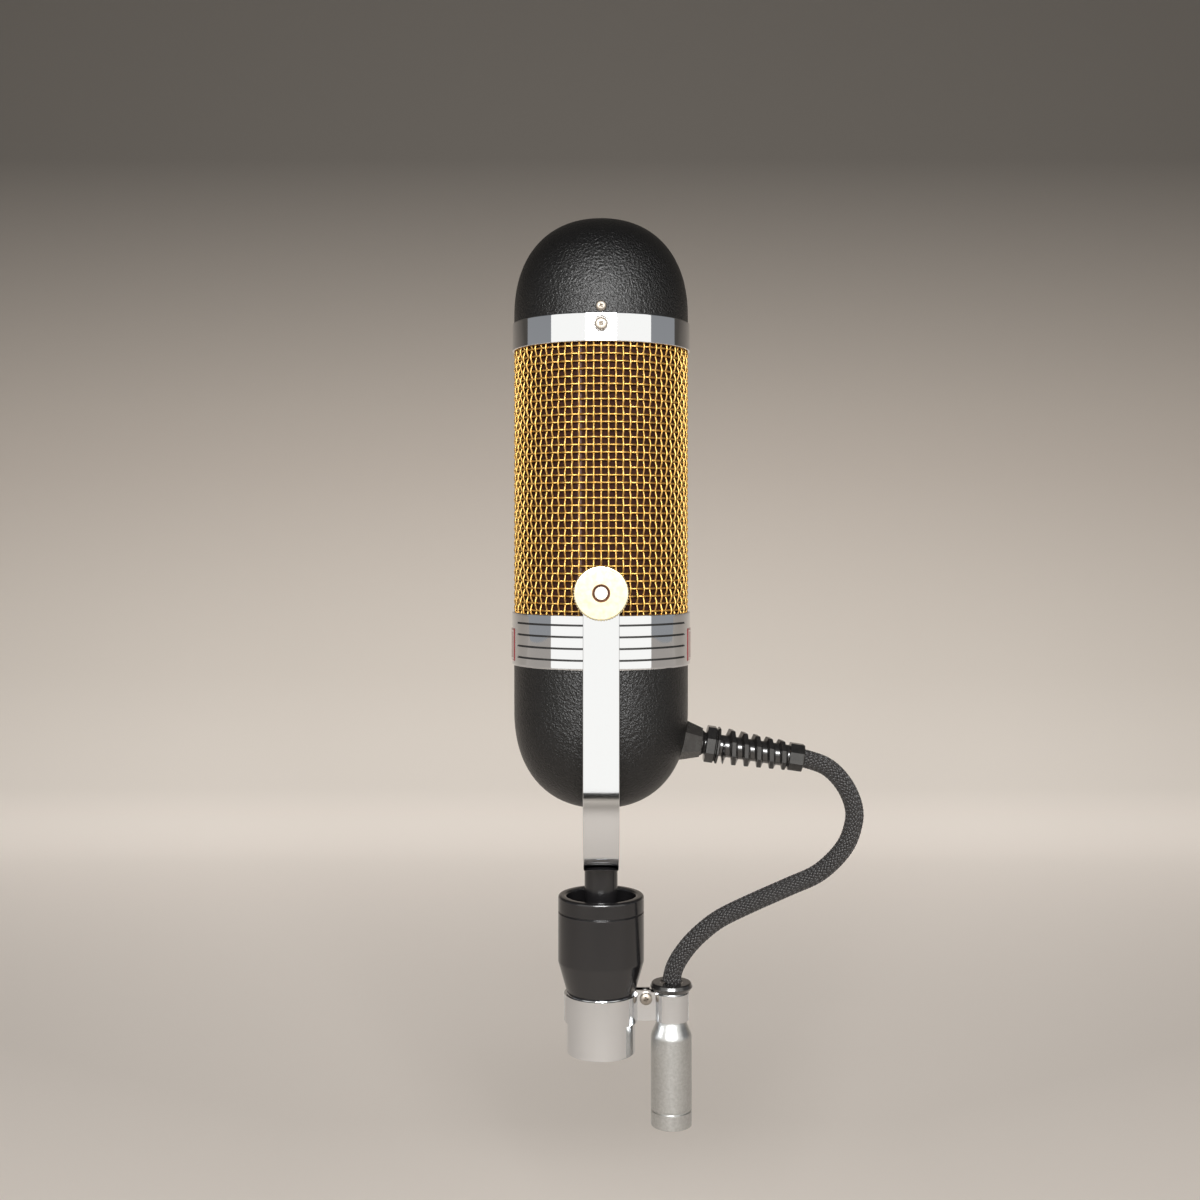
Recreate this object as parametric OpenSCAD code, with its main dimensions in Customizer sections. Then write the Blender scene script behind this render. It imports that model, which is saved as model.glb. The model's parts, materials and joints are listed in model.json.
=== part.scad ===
// Ribbon microphone in a chromed tilting yoke, on a cushioned stand mount with a captive cable.
// All sizes are in millimetres. +Z is up and +X is the rear, where the cable leaves the head.
// The head tilts about an axis along Y. The origin is the mouth of the stand thread.

/* [Casings] */
// Outer radius of the two enamelled casings
casing_r = 40.4; // [34:0.1:48.5]
// Sheet thickness of the casings
casing_wall = 1.2; // [0.8:0.1:2]
// Height of the rounded end of each casing
crown_h = 46; // [38:0.5:56]
// Squareness of the rounded ends, where 2 is an ellipse
crown_power = 2.3; // [2:0.05:3]
// Straight wall of the top casing above its band
top_straight = 2.7; // [0.5:0.1:8]
// Straight wall of the bottom casing below its band
low_straight = 20.6; // [16:0.1:30]

/* [Bands] */
// Height of the plain band above the grille
top_band_h = 12.7; // [10:0.1:18]
// Height of the grooved band below the grille
low_band_h = 24.2; // [20:0.1:30]
// Number of grooves round the lower band
groove_count = 4; // [2:1:5]
// Height of one groove
groove_h = 0.7; // [0.4:0.1:1.2]
// How far the grooves reach each way from the tilt axis, in degrees
groove_reach = 66; // [40:1:68]
// Height of the enamel badges
badge_h = 15; // [10:0.5:18]
// Half of the angle that a badge covers
badge_reach = 18; // [8:1:20]

/* [Grille] */
// Height of the open wire mesh between the bands
grille_h = 120.4; // [95:0.1:145]
// Diameter of one wire
wire_d = 1; // [0.7:0.05:1.2]
// Number of upright wires round the grille
upright_count = 76; // [60:2:90]
// Number of rows of wire up the grille
row_count = 36; // [28:1:44]

/* [Yoke] */
// Width of the yoke strap
strap_w = 15.9; // [13:0.1:20]
// Thickness of the yoke strap
strap_t = 3.2; // [2:0.1:4]
// Free space between the lower band and an arm
arm_gap = 4.4; // [3:0.1:8]
// Outer radius of the two bends
bend_r = 37.5; // [28:0.5:42]
// Free space between the bottom casing and the underside of the yoke
under_gap = 26.7; // [22:0.1:40]
// Height of the tilt axis above the lower band
pivot_rise = 10.4; // [8:0.1:20]
// Diameter of the thumb nuts
nut_d = 24; // [18:0.5:26]
// Length of a thumb nut
nut_l = 7; // [5:0.1:10]
// Diameter of the threaded studs
stud_d = 6.35; // [5:0.05:7]

/* [Stand mount] */
// Radius of the stand thread's bore
thread_r = 7.94; // [7.94:0.01:8]
// Depth of the stand thread's bore
thread_l = 20; // [16:0.5:22]
// Radius of the chromed hub
hub_r = 15.9; // [13.5:0.1:19.1]
// Height of the chromed hub
hub_h = 28; // [26:0.5:34]
// Outer radius of the cushion cup
cup_r = 20; // [18.5:0.1:24]
// Height of the cushion cup
cup_h = 45; // [40:0.5:55]
// Wall thickness of the cushion cup
cup_wall = 4; // [2.5:0.1:4.8]
// Length of the post that shows above the cup
post_show = 14.3; // [8:0.1:20]
// Diameter of the post
post_d = 15.4; // [12:0.1:16]

/* [Cable] */
// Diameter of the braided cable
cable_d = 8.7; // [7:0.1:10]
// Length of the strain-relief boot, outside the casing
boot_l = 55.6; // [52:0.1:67]
// How far the boot points below level, in degrees
boot_dip = 8.6; // [4:0.1:15]
// Number of ribs along the boot
rib_count = 5; // [3:1:6]
// Diameter of the connector's shell
plug_d = 19; // [18:0.1:20]

/* [Hidden] */
$fn = 96;

// Clearances and small shared sizes
fit_gap = 0.05;
loose_gap = 0.3;
top_band_r = casing_r + 0.8;
low_band_r = casing_r + 1;
band_in_r = casing_r + fit_gap;
casing_in_r = casing_r - casing_wall;

// Heights, from the stand thread upwards
cup_top_z = hub_h + cup_h;
strap_z = cup_top_z + post_show;
head_z = strap_z + under_gap;
low_band_z = head_z + crown_h + low_straight;
grille_z = low_band_z + low_band_h;
pivot_z = grille_z + pivot_rise;
top_band_z = grille_z + grille_h;
top_z = top_band_z + top_band_h;
crown_z = top_z + top_straight;

// Wire mesh: the rows lie outside the uprights, with a lining inside them
row_r = casing_r + 0.2 - wire_d / 2;
upright_r = row_r - wire_d - 0.02;
mesh_in_r = upright_r - wire_d / 2;
row_pitch = grille_h / row_count;
hem_h = 2.2;
seam_t = 0.25;
seam_w = 4;
seam_angle = 14;
lining_r = mesh_in_r - seam_t - fit_gap;
lining_t = 0.4;
eyelet_r = 6.5;

// Inner frame
plate_t = 3;
plate_r = casing_in_r - 0.1;
frame_r = lining_r - lining_t - fit_gap;
base_z = grille_z - hem_h - plate_t;
roof_z = top_band_z + hem_h;
upright_d = 7;
upright_w = 15;

// Tilt pivots, outwards along Y
arm_in = low_band_r + arm_gap;
arm_out = arm_in + strap_t;
washer_t = 1;
washer_r = 9;
nut_in = arm_out + washer_t + fit_gap;
nut_out = nut_in + nut_l;
stud_r = stud_d / 2;
stud_out = nut_out - 0.5;
stud_in = frame_r - upright_d - 2;
spacer_r = 6;
flange_r = 7.8;

// Casing screws
screw_shank_r = 1.3;
cap_screw_head_r = 2.45;
band_screw_head_r = 2.85;
cap_screw_z = top_z + 2.9;
band_screw_z = top_z - 5;
screw_in = casing_in_r - 6;
dimple_r = 3.3;
dimple_t = 0.4;

// Motor: two magnets with pole pieces either side of the ribbon
motor_z = pivot_z + 16;
motor_h = top_band_z - motor_z - 14;
magnet_w = 16;
magnet_in = 14;
magnet_out = 27;
pole_gap = 2.6;
ribbon_w = 4.7;
ribbon_t = 0.1;
ribbon_folds = 30;
ribbon_depth = 0.8;
clamp_block_h = 7;

// Transformer, in the lower casing
transformer_z = low_band_z - 24;
transformer_h = 30;

// Cushion mount
cup_floor_z = hub_h + 8;
cup_in_r = cup_r - cup_wall;
cup_taper_h = 14.5;
cup_groove_drop = 7.4;
spigot_r = 6;
post_r = post_d / 2;
post_foot_r = post_r + 3.3;
post_foot_t = 3;
post_z = cup_floor_z + 1;
cushion_drop = 13;
bolt_r = 3.2;
bolt_head_r = 6;
bolt_head_h = 4;
bolt_z = cup_top_z - 3;
bush_r = thread_r + 3;

// Connector and its clamp
plug_x = hub_r + 16.8;
plug_r = plug_d / 2;
plug_neck_r = 6.85;
plug_top_z = hub_h + 0.2;
plug_neck_z = 14;
plug_shoulder_z = 8;
plug_z = -34;
plug_bore_r = plug_r - 1.5;
insert_z = plug_z + 19;
pin_r = 1.2;
pin_circle_r = 4.75;
pin_z = plug_z + 3;
grommet_r = 9.9;
grommet_h = 4.1;
clip_t = 1.2;
clip_z = 15;
clip_h = 12.5;
ear_y = 1.8;
ear_top_z = hub_h + 1;
clip_screw_x = hub_r + 4.9;
clip_screw_z = hub_h - 2.6;

// Strain-relief boot, measured along its own axis from the casing
boot_rise = 30.8;
boot_z = head_z + boot_rise;
boot_x = crown_width(crown_h - boot_rise, casing_r, crown_h);
boot_root_r = 5.2;
boot_collar_r = 8.6;
boot_end_r = 6.5;
gland_r = 9;
gland_neck_r = 6.8;
gland_l = 7.6;
gland_hole_r = 5.6;
collar_s = 8.6;
collar_l = 8;
end_l = 8;
rib_l = 2.8;
rib_pitch = (boot_l - end_l - collar_s - collar_l) / (rib_count + 0.5);

// Cable route in the XZ plane: the first points count from the boot's end and the last from the grommet
cable_start = [boot_x + boot_l * cos(boot_dip), boot_z - boot_l * sin(boot_dip)];
cable_end = [plug_x, plug_top_z + grommet_h];
lead_out = [[0, 0], [11, -4], [19, -12], [23.5, -22], [23.5, -31], [19, -42]];
lead_in = [[69, 51], [54, 44], [36, 36], [22, 29], [12, 21], [5.5, 13.5], [1.5, 6.5], [0, 0]];
steps_per_leg = 3;
cable_sides = 12;

function crown_width(rise, r, h) = r * pow(1 - pow(rise / h, crown_power), 1 / crown_power);
function crown_curve(r, h, from, to, steps) =
  [for (i = [0:steps]) let (a = from + (to - from) * i / steps)
    [r * pow(max(cos(a), 0), 2 / crown_power), h * pow(max(sin(a), 0), 2 / crown_power)]];

// A spun casing with its rim at z = 0 and its crown at the top
module casing_shell(rim_h) {
  outer = crown_curve(casing_r, crown_h, 0, 90, 20);
  inner = crown_curve(casing_in_r, crown_h - casing_wall, 90, 0, 20);
  rotate_extrude() {
    polygon(concat(
      [[casing_in_r, 0], [casing_r, 0]],
      [for (p = outer) p + [0, rim_h]],
      [for (p = inner) p + [0, rim_h]]
    ));
  }
}

module ring(r_out, r_in, h) {
  difference() {
    cylinder(r = r_out, h = h);
    translate([0, 0, -1]) {
      cylinder(r = r_in, h = h + 2);
    }
  }
}

// Draws its children on the side of -Y and again on the side of +Y
module both_sides() {
  children();
  mirror([0, 1, 0]) {
    children();
  }
}

// Turns a shape made along +Z so that it points along -Y
module along_minus_y() {
  rotate([90, 0, 0]) {
    children();
  }
}

// A pan-head cross-recess screw pointing along -Y, with the underside of its head at y = -seat
module pan_screw(head_r, head_h, shank_r, shank_l, seat, turn) {
  slot_w = head_r * 0.28;
  along_minus_y() {
    translate([0, 0, seat]) {
      translate([0, 0, -shank_l]) {
        cylinder(r = shank_r, h = shank_l + 0.1);
      }
      difference() {
        union() {
          cylinder(r = head_r, h = head_h * 0.5);
          translate([0, 0, head_h * 0.5]) {
            cylinder(r1 = head_r, r2 = head_r * 0.7, h = head_h * 0.5);
          }
        }
        for (quarter = [0, 90]) {
          rotate([0, 0, turn + quarter]) {
            translate([-slot_w / 2, -head_r * 0.55, head_h * 0.45]) {
              cube([slot_w, head_r * 1.1, head_h]);
            }
          }
        }
      }
    }
  }
}

module casing_hole(r, z) {
  both_sides() {
    translate([0, 0, z]) {
      along_minus_y() {
        cylinder(r = r, h = top_band_r + 5);
      }
    }
  }
}

// ---- head ----

module top_casing() {
  rim = top_straight + top_band_h - hem_h - 0.1;
  color("#1c1b1b") {
    difference() {
      translate([0, 0, crown_z - rim]) {
        casing_shell(rim);
      }
      casing_hole(screw_shank_r + fit_gap, cap_screw_z);
      casing_hole(screw_shank_r + fit_gap, band_screw_z);
    }
  }
}

module top_band() {
  color("#d5d7d9") {
    difference() {
      translate([0, 0, top_band_z]) {
        ring(top_band_r, band_in_r, top_band_h);
      }
      casing_hole(screw_shank_r + fit_gap, band_screw_z);
      both_sides() {
        translate([0, dimple_t - top_band_r, band_screw_z]) {
          along_minus_y() {
            cylinder(r = dimple_r, h = 5);
          }
        }
      }
    }
  }
}

module casing_screws() {
  color("#cfc8b8") {
    both_sides() {
      translate([0, 0, cap_screw_z]) {
        pan_screw(cap_screw_head_r, 1.8, screw_shank_r, casing_r - screw_in, casing_r, 25);
      }
    }
  }
}

module band_screws() {
  seat = top_band_r - dimple_t;
  color("#c9c2b2") {
    both_sides() {
      translate([0, 0, band_screw_z]) {
        pan_screw(band_screw_head_r, 1.4, screw_shank_r, seat - screw_in, seat, 40);
      }
    }
  }
}

// The hole that the eyelet makes in the mesh where a pivot passes through
module eyelet_holes() {
  both_sides() {
    translate([0, 0, pivot_z]) {
      along_minus_y() {
        translate([0, 0, frame_r - 5]) {
          cylinder(r = eyelet_r, h = casing_r);
        }
      }
    }
  }
}

module grille_uprights() {
  color("#c39a4a") {
    difference() {
      union() {
        for (i = [0:upright_count - 1]) {
          rotate([0, 0, 360 * i / upright_count]) {
            translate([upright_r, 0, grille_z]) {
              cylinder(d = wire_d, h = grille_h);
            }
          }
        }
      }
      eyelet_holes();
    }
  }
}

module grille_rows() {
  color("#d0a856") {
    difference() {
      union() {
        for (i = [0:row_count - 1]) {
          translate([0, 0, grille_z + (i + 0.5) * row_pitch]) {
            rotate_extrude() {
              translate([row_r, 0]) {
                circle(d = wire_d, $fn = 8);
              }
            }
          }
        }
      }
      eyelet_holes();
    }
  }
}

module grille_hems() {
  color("#a9853d") {
    for (z = [grille_z - hem_h, top_band_z]) {
      translate([0, 0, z]) {
        ring(casing_r, mesh_in_r, hem_h);
      }
    }
  }
}

module grille_lining() {
  color("#241c16") {
    difference() {
      union() {
        translate([0, 0, grille_z - hem_h]) {
          ring(lining_r, lining_r - lining_t, grille_h + 2 * hem_h);
        }
        intersection() {
          translate([0, 0, grille_z]) {
            ring(lining_r + seam_t, lining_r - lining_t / 2, grille_h);
          }
          rotate([0, 0, -seam_angle]) {
            translate([-seam_w / 2, -casing_r, grille_z]) {
              cube([seam_w, casing_r, grille_h]);
            }
          }
        }
      }
      both_sides() {
        translate([0, 0, pivot_z]) {
          along_minus_y() {
            cylinder(r = spacer_r + fit_gap, h = casing_r);
          }
        }
      }
    }
  }
}

// The grooved sides face the arms. The plain seats between them, for the badges, are a hair lower
module lower_band() {
  groove_depth = 0.5;
  seat_drop = 0.02;
  groove_step = low_band_h / (groove_count + 0.7);
  grooved = concat(
    [[band_in_r, 0], [low_band_r, 0]],
    [for (i = [0:groove_count - 1])
      let (z = (i + 0.85) * groove_step, half = groove_h / 2, deep = low_band_r - groove_depth)
      each [[low_band_r, z - half], [deep, z - half], [deep, z + half], [low_band_r, z + half]]],
    [[low_band_r, low_band_h], [band_in_r, low_band_h]]
  );
  color("#d5d7d9") {
    translate([0, 0, low_band_z]) {
      for (side = [0, 180]) {
        rotate([0, 0, side + 90 - groove_reach]) {
          rotate_extrude(angle = 2 * groove_reach) {
            polygon(grooved);
          }
        }
        rotate([0, 0, side + groove_reach - 90]) {
          rotate_extrude(angle = 180 - 2 * groove_reach) {
            translate([band_in_r, 0]) {
              square([low_band_r - seat_drop - band_in_r, low_band_h]);
            }
          }
        }
      }
    }
  }
}

module badge() {
  badge_t = 0.4;
  rotate([0, 0, -badge_reach]) {
    translate([0, 0, low_band_z + 2]) {
      rotate_extrude(angle = 2 * badge_reach) {
        translate([low_band_r, 0]) {
          square([badge_t, badge_h]);
        }
      }
    }
  }
}

module front_badge() {
  color("#7a1f24") {
    rotate([0, 0, 180]) {
      badge();
    }
  }
}

module rear_badge() {
  color("#7a1f24") {
    badge();
  }
}

module lower_casing() {
  rim = low_straight + low_band_h - hem_h - plate_t - 0.1;
  color("#1c1b1b") {
    difference() {
      translate([0, 0, head_z + crown_h + rim]) {
        mirror([0, 0, 1]) {
          casing_shell(rim);
        }
      }
      boot_place() {
        translate([0, 0, -6]) {
          cylinder(r = gland_hole_r + fit_gap, h = 12);
        }
      }
    }
  }
}

module frame_roof() {
  lug_w = 9;
  color("#6d6a64") {
    difference() {
      union() {
        translate([0, 0, roof_z]) {
          cylinder(r = plate_r, h = plate_t);
        }
        for (side = [-1, 1]) {
          intersection() {
            translate([0, 0, roof_z]) {
              cylinder(r = plate_r, h = cap_screw_z + 4 - roof_z);
            }
            translate([-lug_w / 2, side * (plate_r - 3) - 3, roof_z]) {
              cube([lug_w, 6, cap_screw_z + 4 - roof_z]);
            }
          }
        }
      }
      casing_hole(screw_shank_r + fit_gap, cap_screw_z);
      casing_hole(screw_shank_r + fit_gap, band_screw_z);
    }
  }
}

module frame_base() {
  color("#6d6a64") {
    difference() {
      union() {
        translate([0, 0, base_z]) {
          cylinder(r = plate_r, h = plate_t);
        }
        intersection() {
          translate([0, 0, base_z]) {
            cylinder(r = frame_r, h = pivot_z + 7.5 - base_z);
          }
          both_sides() {
            translate([-upright_w / 2, -frame_r, base_z]) {
              cube([upright_w, upright_d, pivot_z + 7.5 - base_z]);
            }
          }
        }
      }
      both_sides() {
        translate([0, 0, pivot_z]) {
          along_minus_y() {
            cylinder(r = stud_r + fit_gap, h = casing_r);
          }
        }
      }
    }
  }
}

module frame_rods() {
  rod_r = 2.5;
  color("#a9abad") {
    for (side = [-1, 1]) {
      translate([side * (frame_r - 8), 0, base_z + plate_t]) {
        cylinder(r = rod_r, h = roof_z - base_z - plate_t);
      }
    }
  }
}

module magnets() {
  color("#4c4a48") {
    both_sides() {
      translate([-magnet_w / 2, -magnet_out, motor_z]) {
        cube([magnet_w, magnet_out - magnet_in, motor_h]);
      }
    }
  }
}

// Each pole piece narrows towards the ribbon, to crowd the field into the gap
module pole_pieces() {
  color("#77746f") {
    both_sides() {
      translate([0, 0, motor_z]) {
        linear_extrude(height = motor_h) {
          polygon([
            [-magnet_w / 2, -magnet_in],
            [magnet_w / 2, -magnet_in],
            [1.5, -pole_gap],
            [-1.5, -pole_gap]
          ]);
        }
      }
    }
  }
}

// The corrugated foil hangs between its clamps, across the gap
module ribbon() {
  fold_h = (motor_h - 2 * clamp_block_h) / ribbon_folds;
  front = [for (i = [0:ribbon_folds]) [(i % 2 - 0.5) * ribbon_depth, i * fold_h]];
  back = [for (i = [ribbon_folds:-1:0]) front[i] + [ribbon_t, 0]];
  color("#e3e4e6") {
    translate([0, ribbon_w / 2, motor_z + clamp_block_h]) {
      rotate([90, 0, 0]) {
        linear_extrude(height = ribbon_w) {
          polygon(concat(front, back));
        }
      }
    }
  }
}

module ribbon_clamps() {
  color("#b28f4a") {
    for (z = [motor_z, motor_z + motor_h - clamp_block_h]) {
      difference() {
        translate([-4, -pole_gap + fit_gap, z]) {
          cube([8, 2 * (pole_gap - fit_gap), clamp_block_h]);
        }
        translate([-5, 0, z + clamp_block_h / 2]) {
          rotate([0, 90, 0]) {
            cylinder(r = 0.8 + fit_gap, h = 10);
          }
        }
      }
    }
  }
}

module ribbon_clamp_screws() {
  color("#d8d5cd") {
    for (z = [motor_z, motor_z + motor_h - clamp_block_h]) {
      translate([0, 0, z + clamp_block_h / 2]) {
        rotate([0, 90, 0]) {
          translate([0, 0, -4]) {
            cylinder(r = 0.8, h = 8);
          }
          translate([0, 0, 4]) {
            cylinder(r = 1.7, h = 1.2);
          }
        }
      }
    }
  }
}

module transformer_core() {
  color("#55524e") {
    difference() {
      translate([-9, -16, transformer_z]) {
        cube([18, 32, transformer_h]);
      }
      for (side = [-1, 1]) {
        translate([-10, side * 8 - 3.5, transformer_z + 5]) {
          cube([20, 7, transformer_h - 10]);
        }
      }
    }
  }
}

// The winding fills the core's two windows and bulges past both faces
module transformer_coil() {
  color("#a8783a") {
    difference() {
      translate([-13, -11.4, transformer_z + 5.2]) {
        cube([26, 22.8, transformer_h - 10.4]);
      }
      translate([-9.05, -4.6, transformer_z]) {
        cube([18.1, 9.2, transformer_h]);
      }
    }
  }
}

module transformer_bracket() {
  leg_t = 1.5;
  leg_y = 16 + fit_gap;
  color("#8f8d88") {
    both_sides() {
      translate([-6, -leg_y - leg_t, transformer_z]) {
        cube([12, leg_t, base_z - transformer_z]);
      }
      translate([-6, -leg_y - 8, base_z - leg_t]) {
        cube([12, 8, leg_t]);
      }
    }
  }
}

module pivot_spacers() {
  color("#cfd1d3") {
    both_sides() {
      translate([0, 0, pivot_z]) {
        along_minus_y() {
          translate([0, 0, frame_r + fit_gap]) {
            ring(spacer_r, stud_r + fit_gap, arm_in - frame_r - 2 * fit_gap);
          }
          translate([0, 0, low_band_r]) {
            ring(flange_r, stud_r + fit_gap, 1.2);
          }
        }
      }
    }
  }
}

module pivot_studs() {
  color("#d9d6d0") {
    both_sides() {
      translate([0, 0, pivot_z]) {
        along_minus_y() {
          translate([0, 0, stud_in]) {
            cylinder(r = stud_r, h = stud_out - stud_in - 0.4);
            translate([0, 0, stud_out - stud_in - 0.4]) {
              cylinder(r1 = stud_r, r2 = stud_r - 0.4, h = 0.4);
            }
          }
        }
      }
    }
  }
}

// Children are drawn with +Z along the boot, from the casing's outside
module boot_place() {
  translate([boot_x, 0, boot_z]) {
    rotate([0, 90 + boot_dip, 0]) {
      children();
    }
  }
}

module gland_nut() {
  color("#1f1f1f") {
    difference() {
      boot_place() {
        translate([0, 0, -2]) {
          cylinder(r1 = gland_r + 0.7, r2 = gland_neck_r, h = gland_l + 2, $fn = 6);
        }
      }
      translate([0, 0, head_z + crown_h]) {
        mirror([0, 0, 1]) {
          gland_seat();
        }
      }
    }
    boot_place() {
      translate([0, 0, -5]) {
        cylinder(r = gland_hole_r, h = 6);
      }
    }
  }
}

// The casing's outside, as a solid that the gland nut is shaped to
module gland_seat() {
  rotate_extrude() {
    polygon(concat(
      [[0, -low_straight], [casing_r + fit_gap, -low_straight]],
      crown_curve(casing_r + fit_gap, crown_h + fit_gap, 0, 90, 20)
    ));
  }
}

module strain_boot() {
  color("#151515") {
    boot_place() {
      translate([0, 0, gland_l + fit_gap]) {
        cylinder(r = boot_root_r, h = boot_l - gland_l - fit_gap);
      }
      translate([0, 0, collar_s]) {
        cylinder(r = boot_collar_r, h = collar_l);
      }
      for (i = [0:rib_count - 1]) {
        translate([0, 0, collar_s + collar_l + (i + 0.5) * rib_pitch]) {
          cylinder(r = boot_collar_r - (boot_collar_r - boot_end_r) * (i + 1) / (rib_count + 1), h = rib_l);
        }
      }
      translate([0, 0, boot_l - end_l]) {
        cylinder(r = boot_end_r, h = end_l);
      }
    }
  }
}

// ---- thumb nuts ----

module washer() {
  translate([0, 0, pivot_z]) {
    along_minus_y() {
      translate([0, 0, arm_out + fit_gap / 2]) {
        ring(washer_r, stud_r + fit_gap, washer_t);
      }
    }
  }
}

// A plain-faced round nut with a straight-knurled rim and a countersunk mouth round the stud
module thumb_nut() {
  knurl_count = 60;
  knurl_r = 0.45;
  rim_l = nut_l - 1.4;
  translate([0, 0, pivot_z]) {
    along_minus_y() {
      translate([0, 0, nut_in]) {
        difference() {
          union() {
            cylinder(d1 = nut_d - 1.4, d2 = nut_d, h = 0.7);
            translate([0, 0, 0.7]) {
              cylinder(d = nut_d, h = rim_l);
            }
            translate([0, 0, 0.7 + rim_l]) {
              cylinder(d1 = nut_d, d2 = nut_d - 1.4, h = 0.7);
            }
          }
          translate([0, 0, -1]) {
            cylinder(r = stud_r + fit_gap, h = nut_l + 2);
          }
          translate([0, 0, nut_l - 0.8]) {
            cylinder(r1 = stud_r, r2 = stud_r + 0.9, h = 0.9);
          }
          for (i = [0:knurl_count - 1]) {
            rotate([0, 0, 360 * i / knurl_count]) {
              translate([nut_d / 2 + 0.15, 0, -1]) {
                cylinder(r = knurl_r, h = nut_l + 2, $fn = 4);
              }
            }
          }
        }
      }
    }
  }
}

module left_washer() {
  color("#cbb98a") {
    washer();
  }
}

module left_nut() {
  color("#e6d9a4") {
    thumb_nut();
  }
}

module right_washer() {
  color("#cbb98a") {
    mirror([0, 1, 0]) {
      washer();
    }
  }
}

module right_nut() {
  color("#e6d9a4") {
    mirror([0, 1, 0]) {
      thumb_nut();
    }
  }
}

// ---- yoke and stand mount ----

// Half of the strap's side view, with y across and z up
module strap_side() {
  bend_y = arm_out - bend_r;
  bend_z = strap_z + bend_r;
  square_top = pivot_z - bend_z;
  translate([arm_in, bend_z]) {
    square([strap_t, square_top]);
  }
  intersection() {
    translate([bend_y, bend_z]) {
      difference() {
        circle(r = bend_r);
        circle(r = bend_r - strap_t);
      }
    }
    translate([bend_y, strap_z - 1]) {
      square([bend_r + 1, bend_r + 1]);
    }
  }
  translate([0, strap_z]) {
    square([bend_y, strap_t]);
  }
}

module yoke_strap() {
  color("#dcdee0") {
    difference() {
      union() {
        for (turn = [0, 180]) {
          rotate([0, 0, turn]) {
            translate([-strap_w / 2, 0, 0]) {
              rotate([90, 0, 90]) {
                linear_extrude(height = strap_w) {
                  strap_side();
                }
              }
            }
            translate([0, -arm_in, pivot_z]) {
              along_minus_y() {
                cylinder(d = strap_w, h = strap_t);
              }
            }
          }
        }
      }
      translate([0, arm_out + 1, pivot_z]) {
        along_minus_y() {
          cylinder(r = stud_r + fit_gap, h = 2 * arm_out + 2);
        }
      }
      translate([0, 0, strap_z - 1]) {
        cylinder(r = bolt_r + fit_gap, h = strap_t + 2);
      }
    }
  }
}

module yoke_bolt() {
  color("#b9bbbd") {
    translate([0, 0, bolt_z]) {
      cylinder(r = bolt_r, h = strap_z + strap_t - bolt_z);
    }
    translate([0, 0, strap_z + strap_t]) {
      difference() {
        cylinder(r = bolt_head_r, h = bolt_head_h);
        translate([0, 0, bolt_head_h - 2]) {
          cylinder(r = 2.9, h = 3, $fn = 6);
        }
      }
    }
  }
}

module post() {
  color("#232223") {
    difference() {
      union() {
        translate([0, 0, post_z]) {
          cylinder(r = post_foot_r, h = post_foot_t);
        }
        translate([0, 0, post_z]) {
          cylinder(r = post_r, h = strap_z - post_z);
        }
      }
      translate([0, 0, bolt_z - 1]) {
        cylinder(r = bolt_r + fit_gap, h = strap_z - bolt_z + 2);
      }
    }
  }
}

module cushion() {
  bottom_z = post_z + post_foot_t + fit_gap;
  color("#1a1a1a") {
    translate([0, 0, bottom_z]) {
      ring(cup_in_r - fit_gap, post_r + fit_gap, cup_top_z - cushion_drop - bottom_z);
    }
  }
}

module cup() {
  rim_round = 0.8;
  groove_z = cup_top_z - cup_groove_drop;
  color("#242324") {
    rotate_extrude() {
      polygon([
        [spigot_r + fit_gap, hub_h],
        [hub_r, hub_h],
        [cup_r, hub_h + cup_taper_h],
        [cup_r, groove_z - 0.5],
        [cup_r - 0.5, groove_z],
        [cup_r, groove_z + 0.5],
        [cup_r, cup_top_z - rim_round],
        [cup_r - rim_round / 3, cup_top_z - rim_round / 3],
        [cup_r - rim_round, cup_top_z],
        [cup_in_r + rim_round, cup_top_z],
        [cup_in_r, cup_top_z - rim_round],
        [cup_in_r, cup_floor_z],
        [spigot_r + fit_gap, cup_floor_z]
      ]);
    }
  }
}

module hub() {
  edge = 0.8;
  color("#d5d7d9") {
    difference() {
      rotate_extrude() {
        polygon([
          [0, 0],
          [hub_r - edge, 0],
          [hub_r, edge],
          [hub_r, hub_h - edge],
          [hub_r - edge, hub_h],
          [spigot_r, hub_h],
          [spigot_r, cup_floor_z],
          [0, cup_floor_z]
        ]);
      }
      translate([0, 0, -1]) {
        cylinder(r = bush_r + fit_gap, h = thread_l + 1 + fit_gap);
      }
    }
  }
}

// The threaded bush that takes the stand, with a chamfered mouth
module stand_bush() {
  color("#b9a36b") {
    ring(bush_r, thread_r, thread_l);
  }
}

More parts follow.
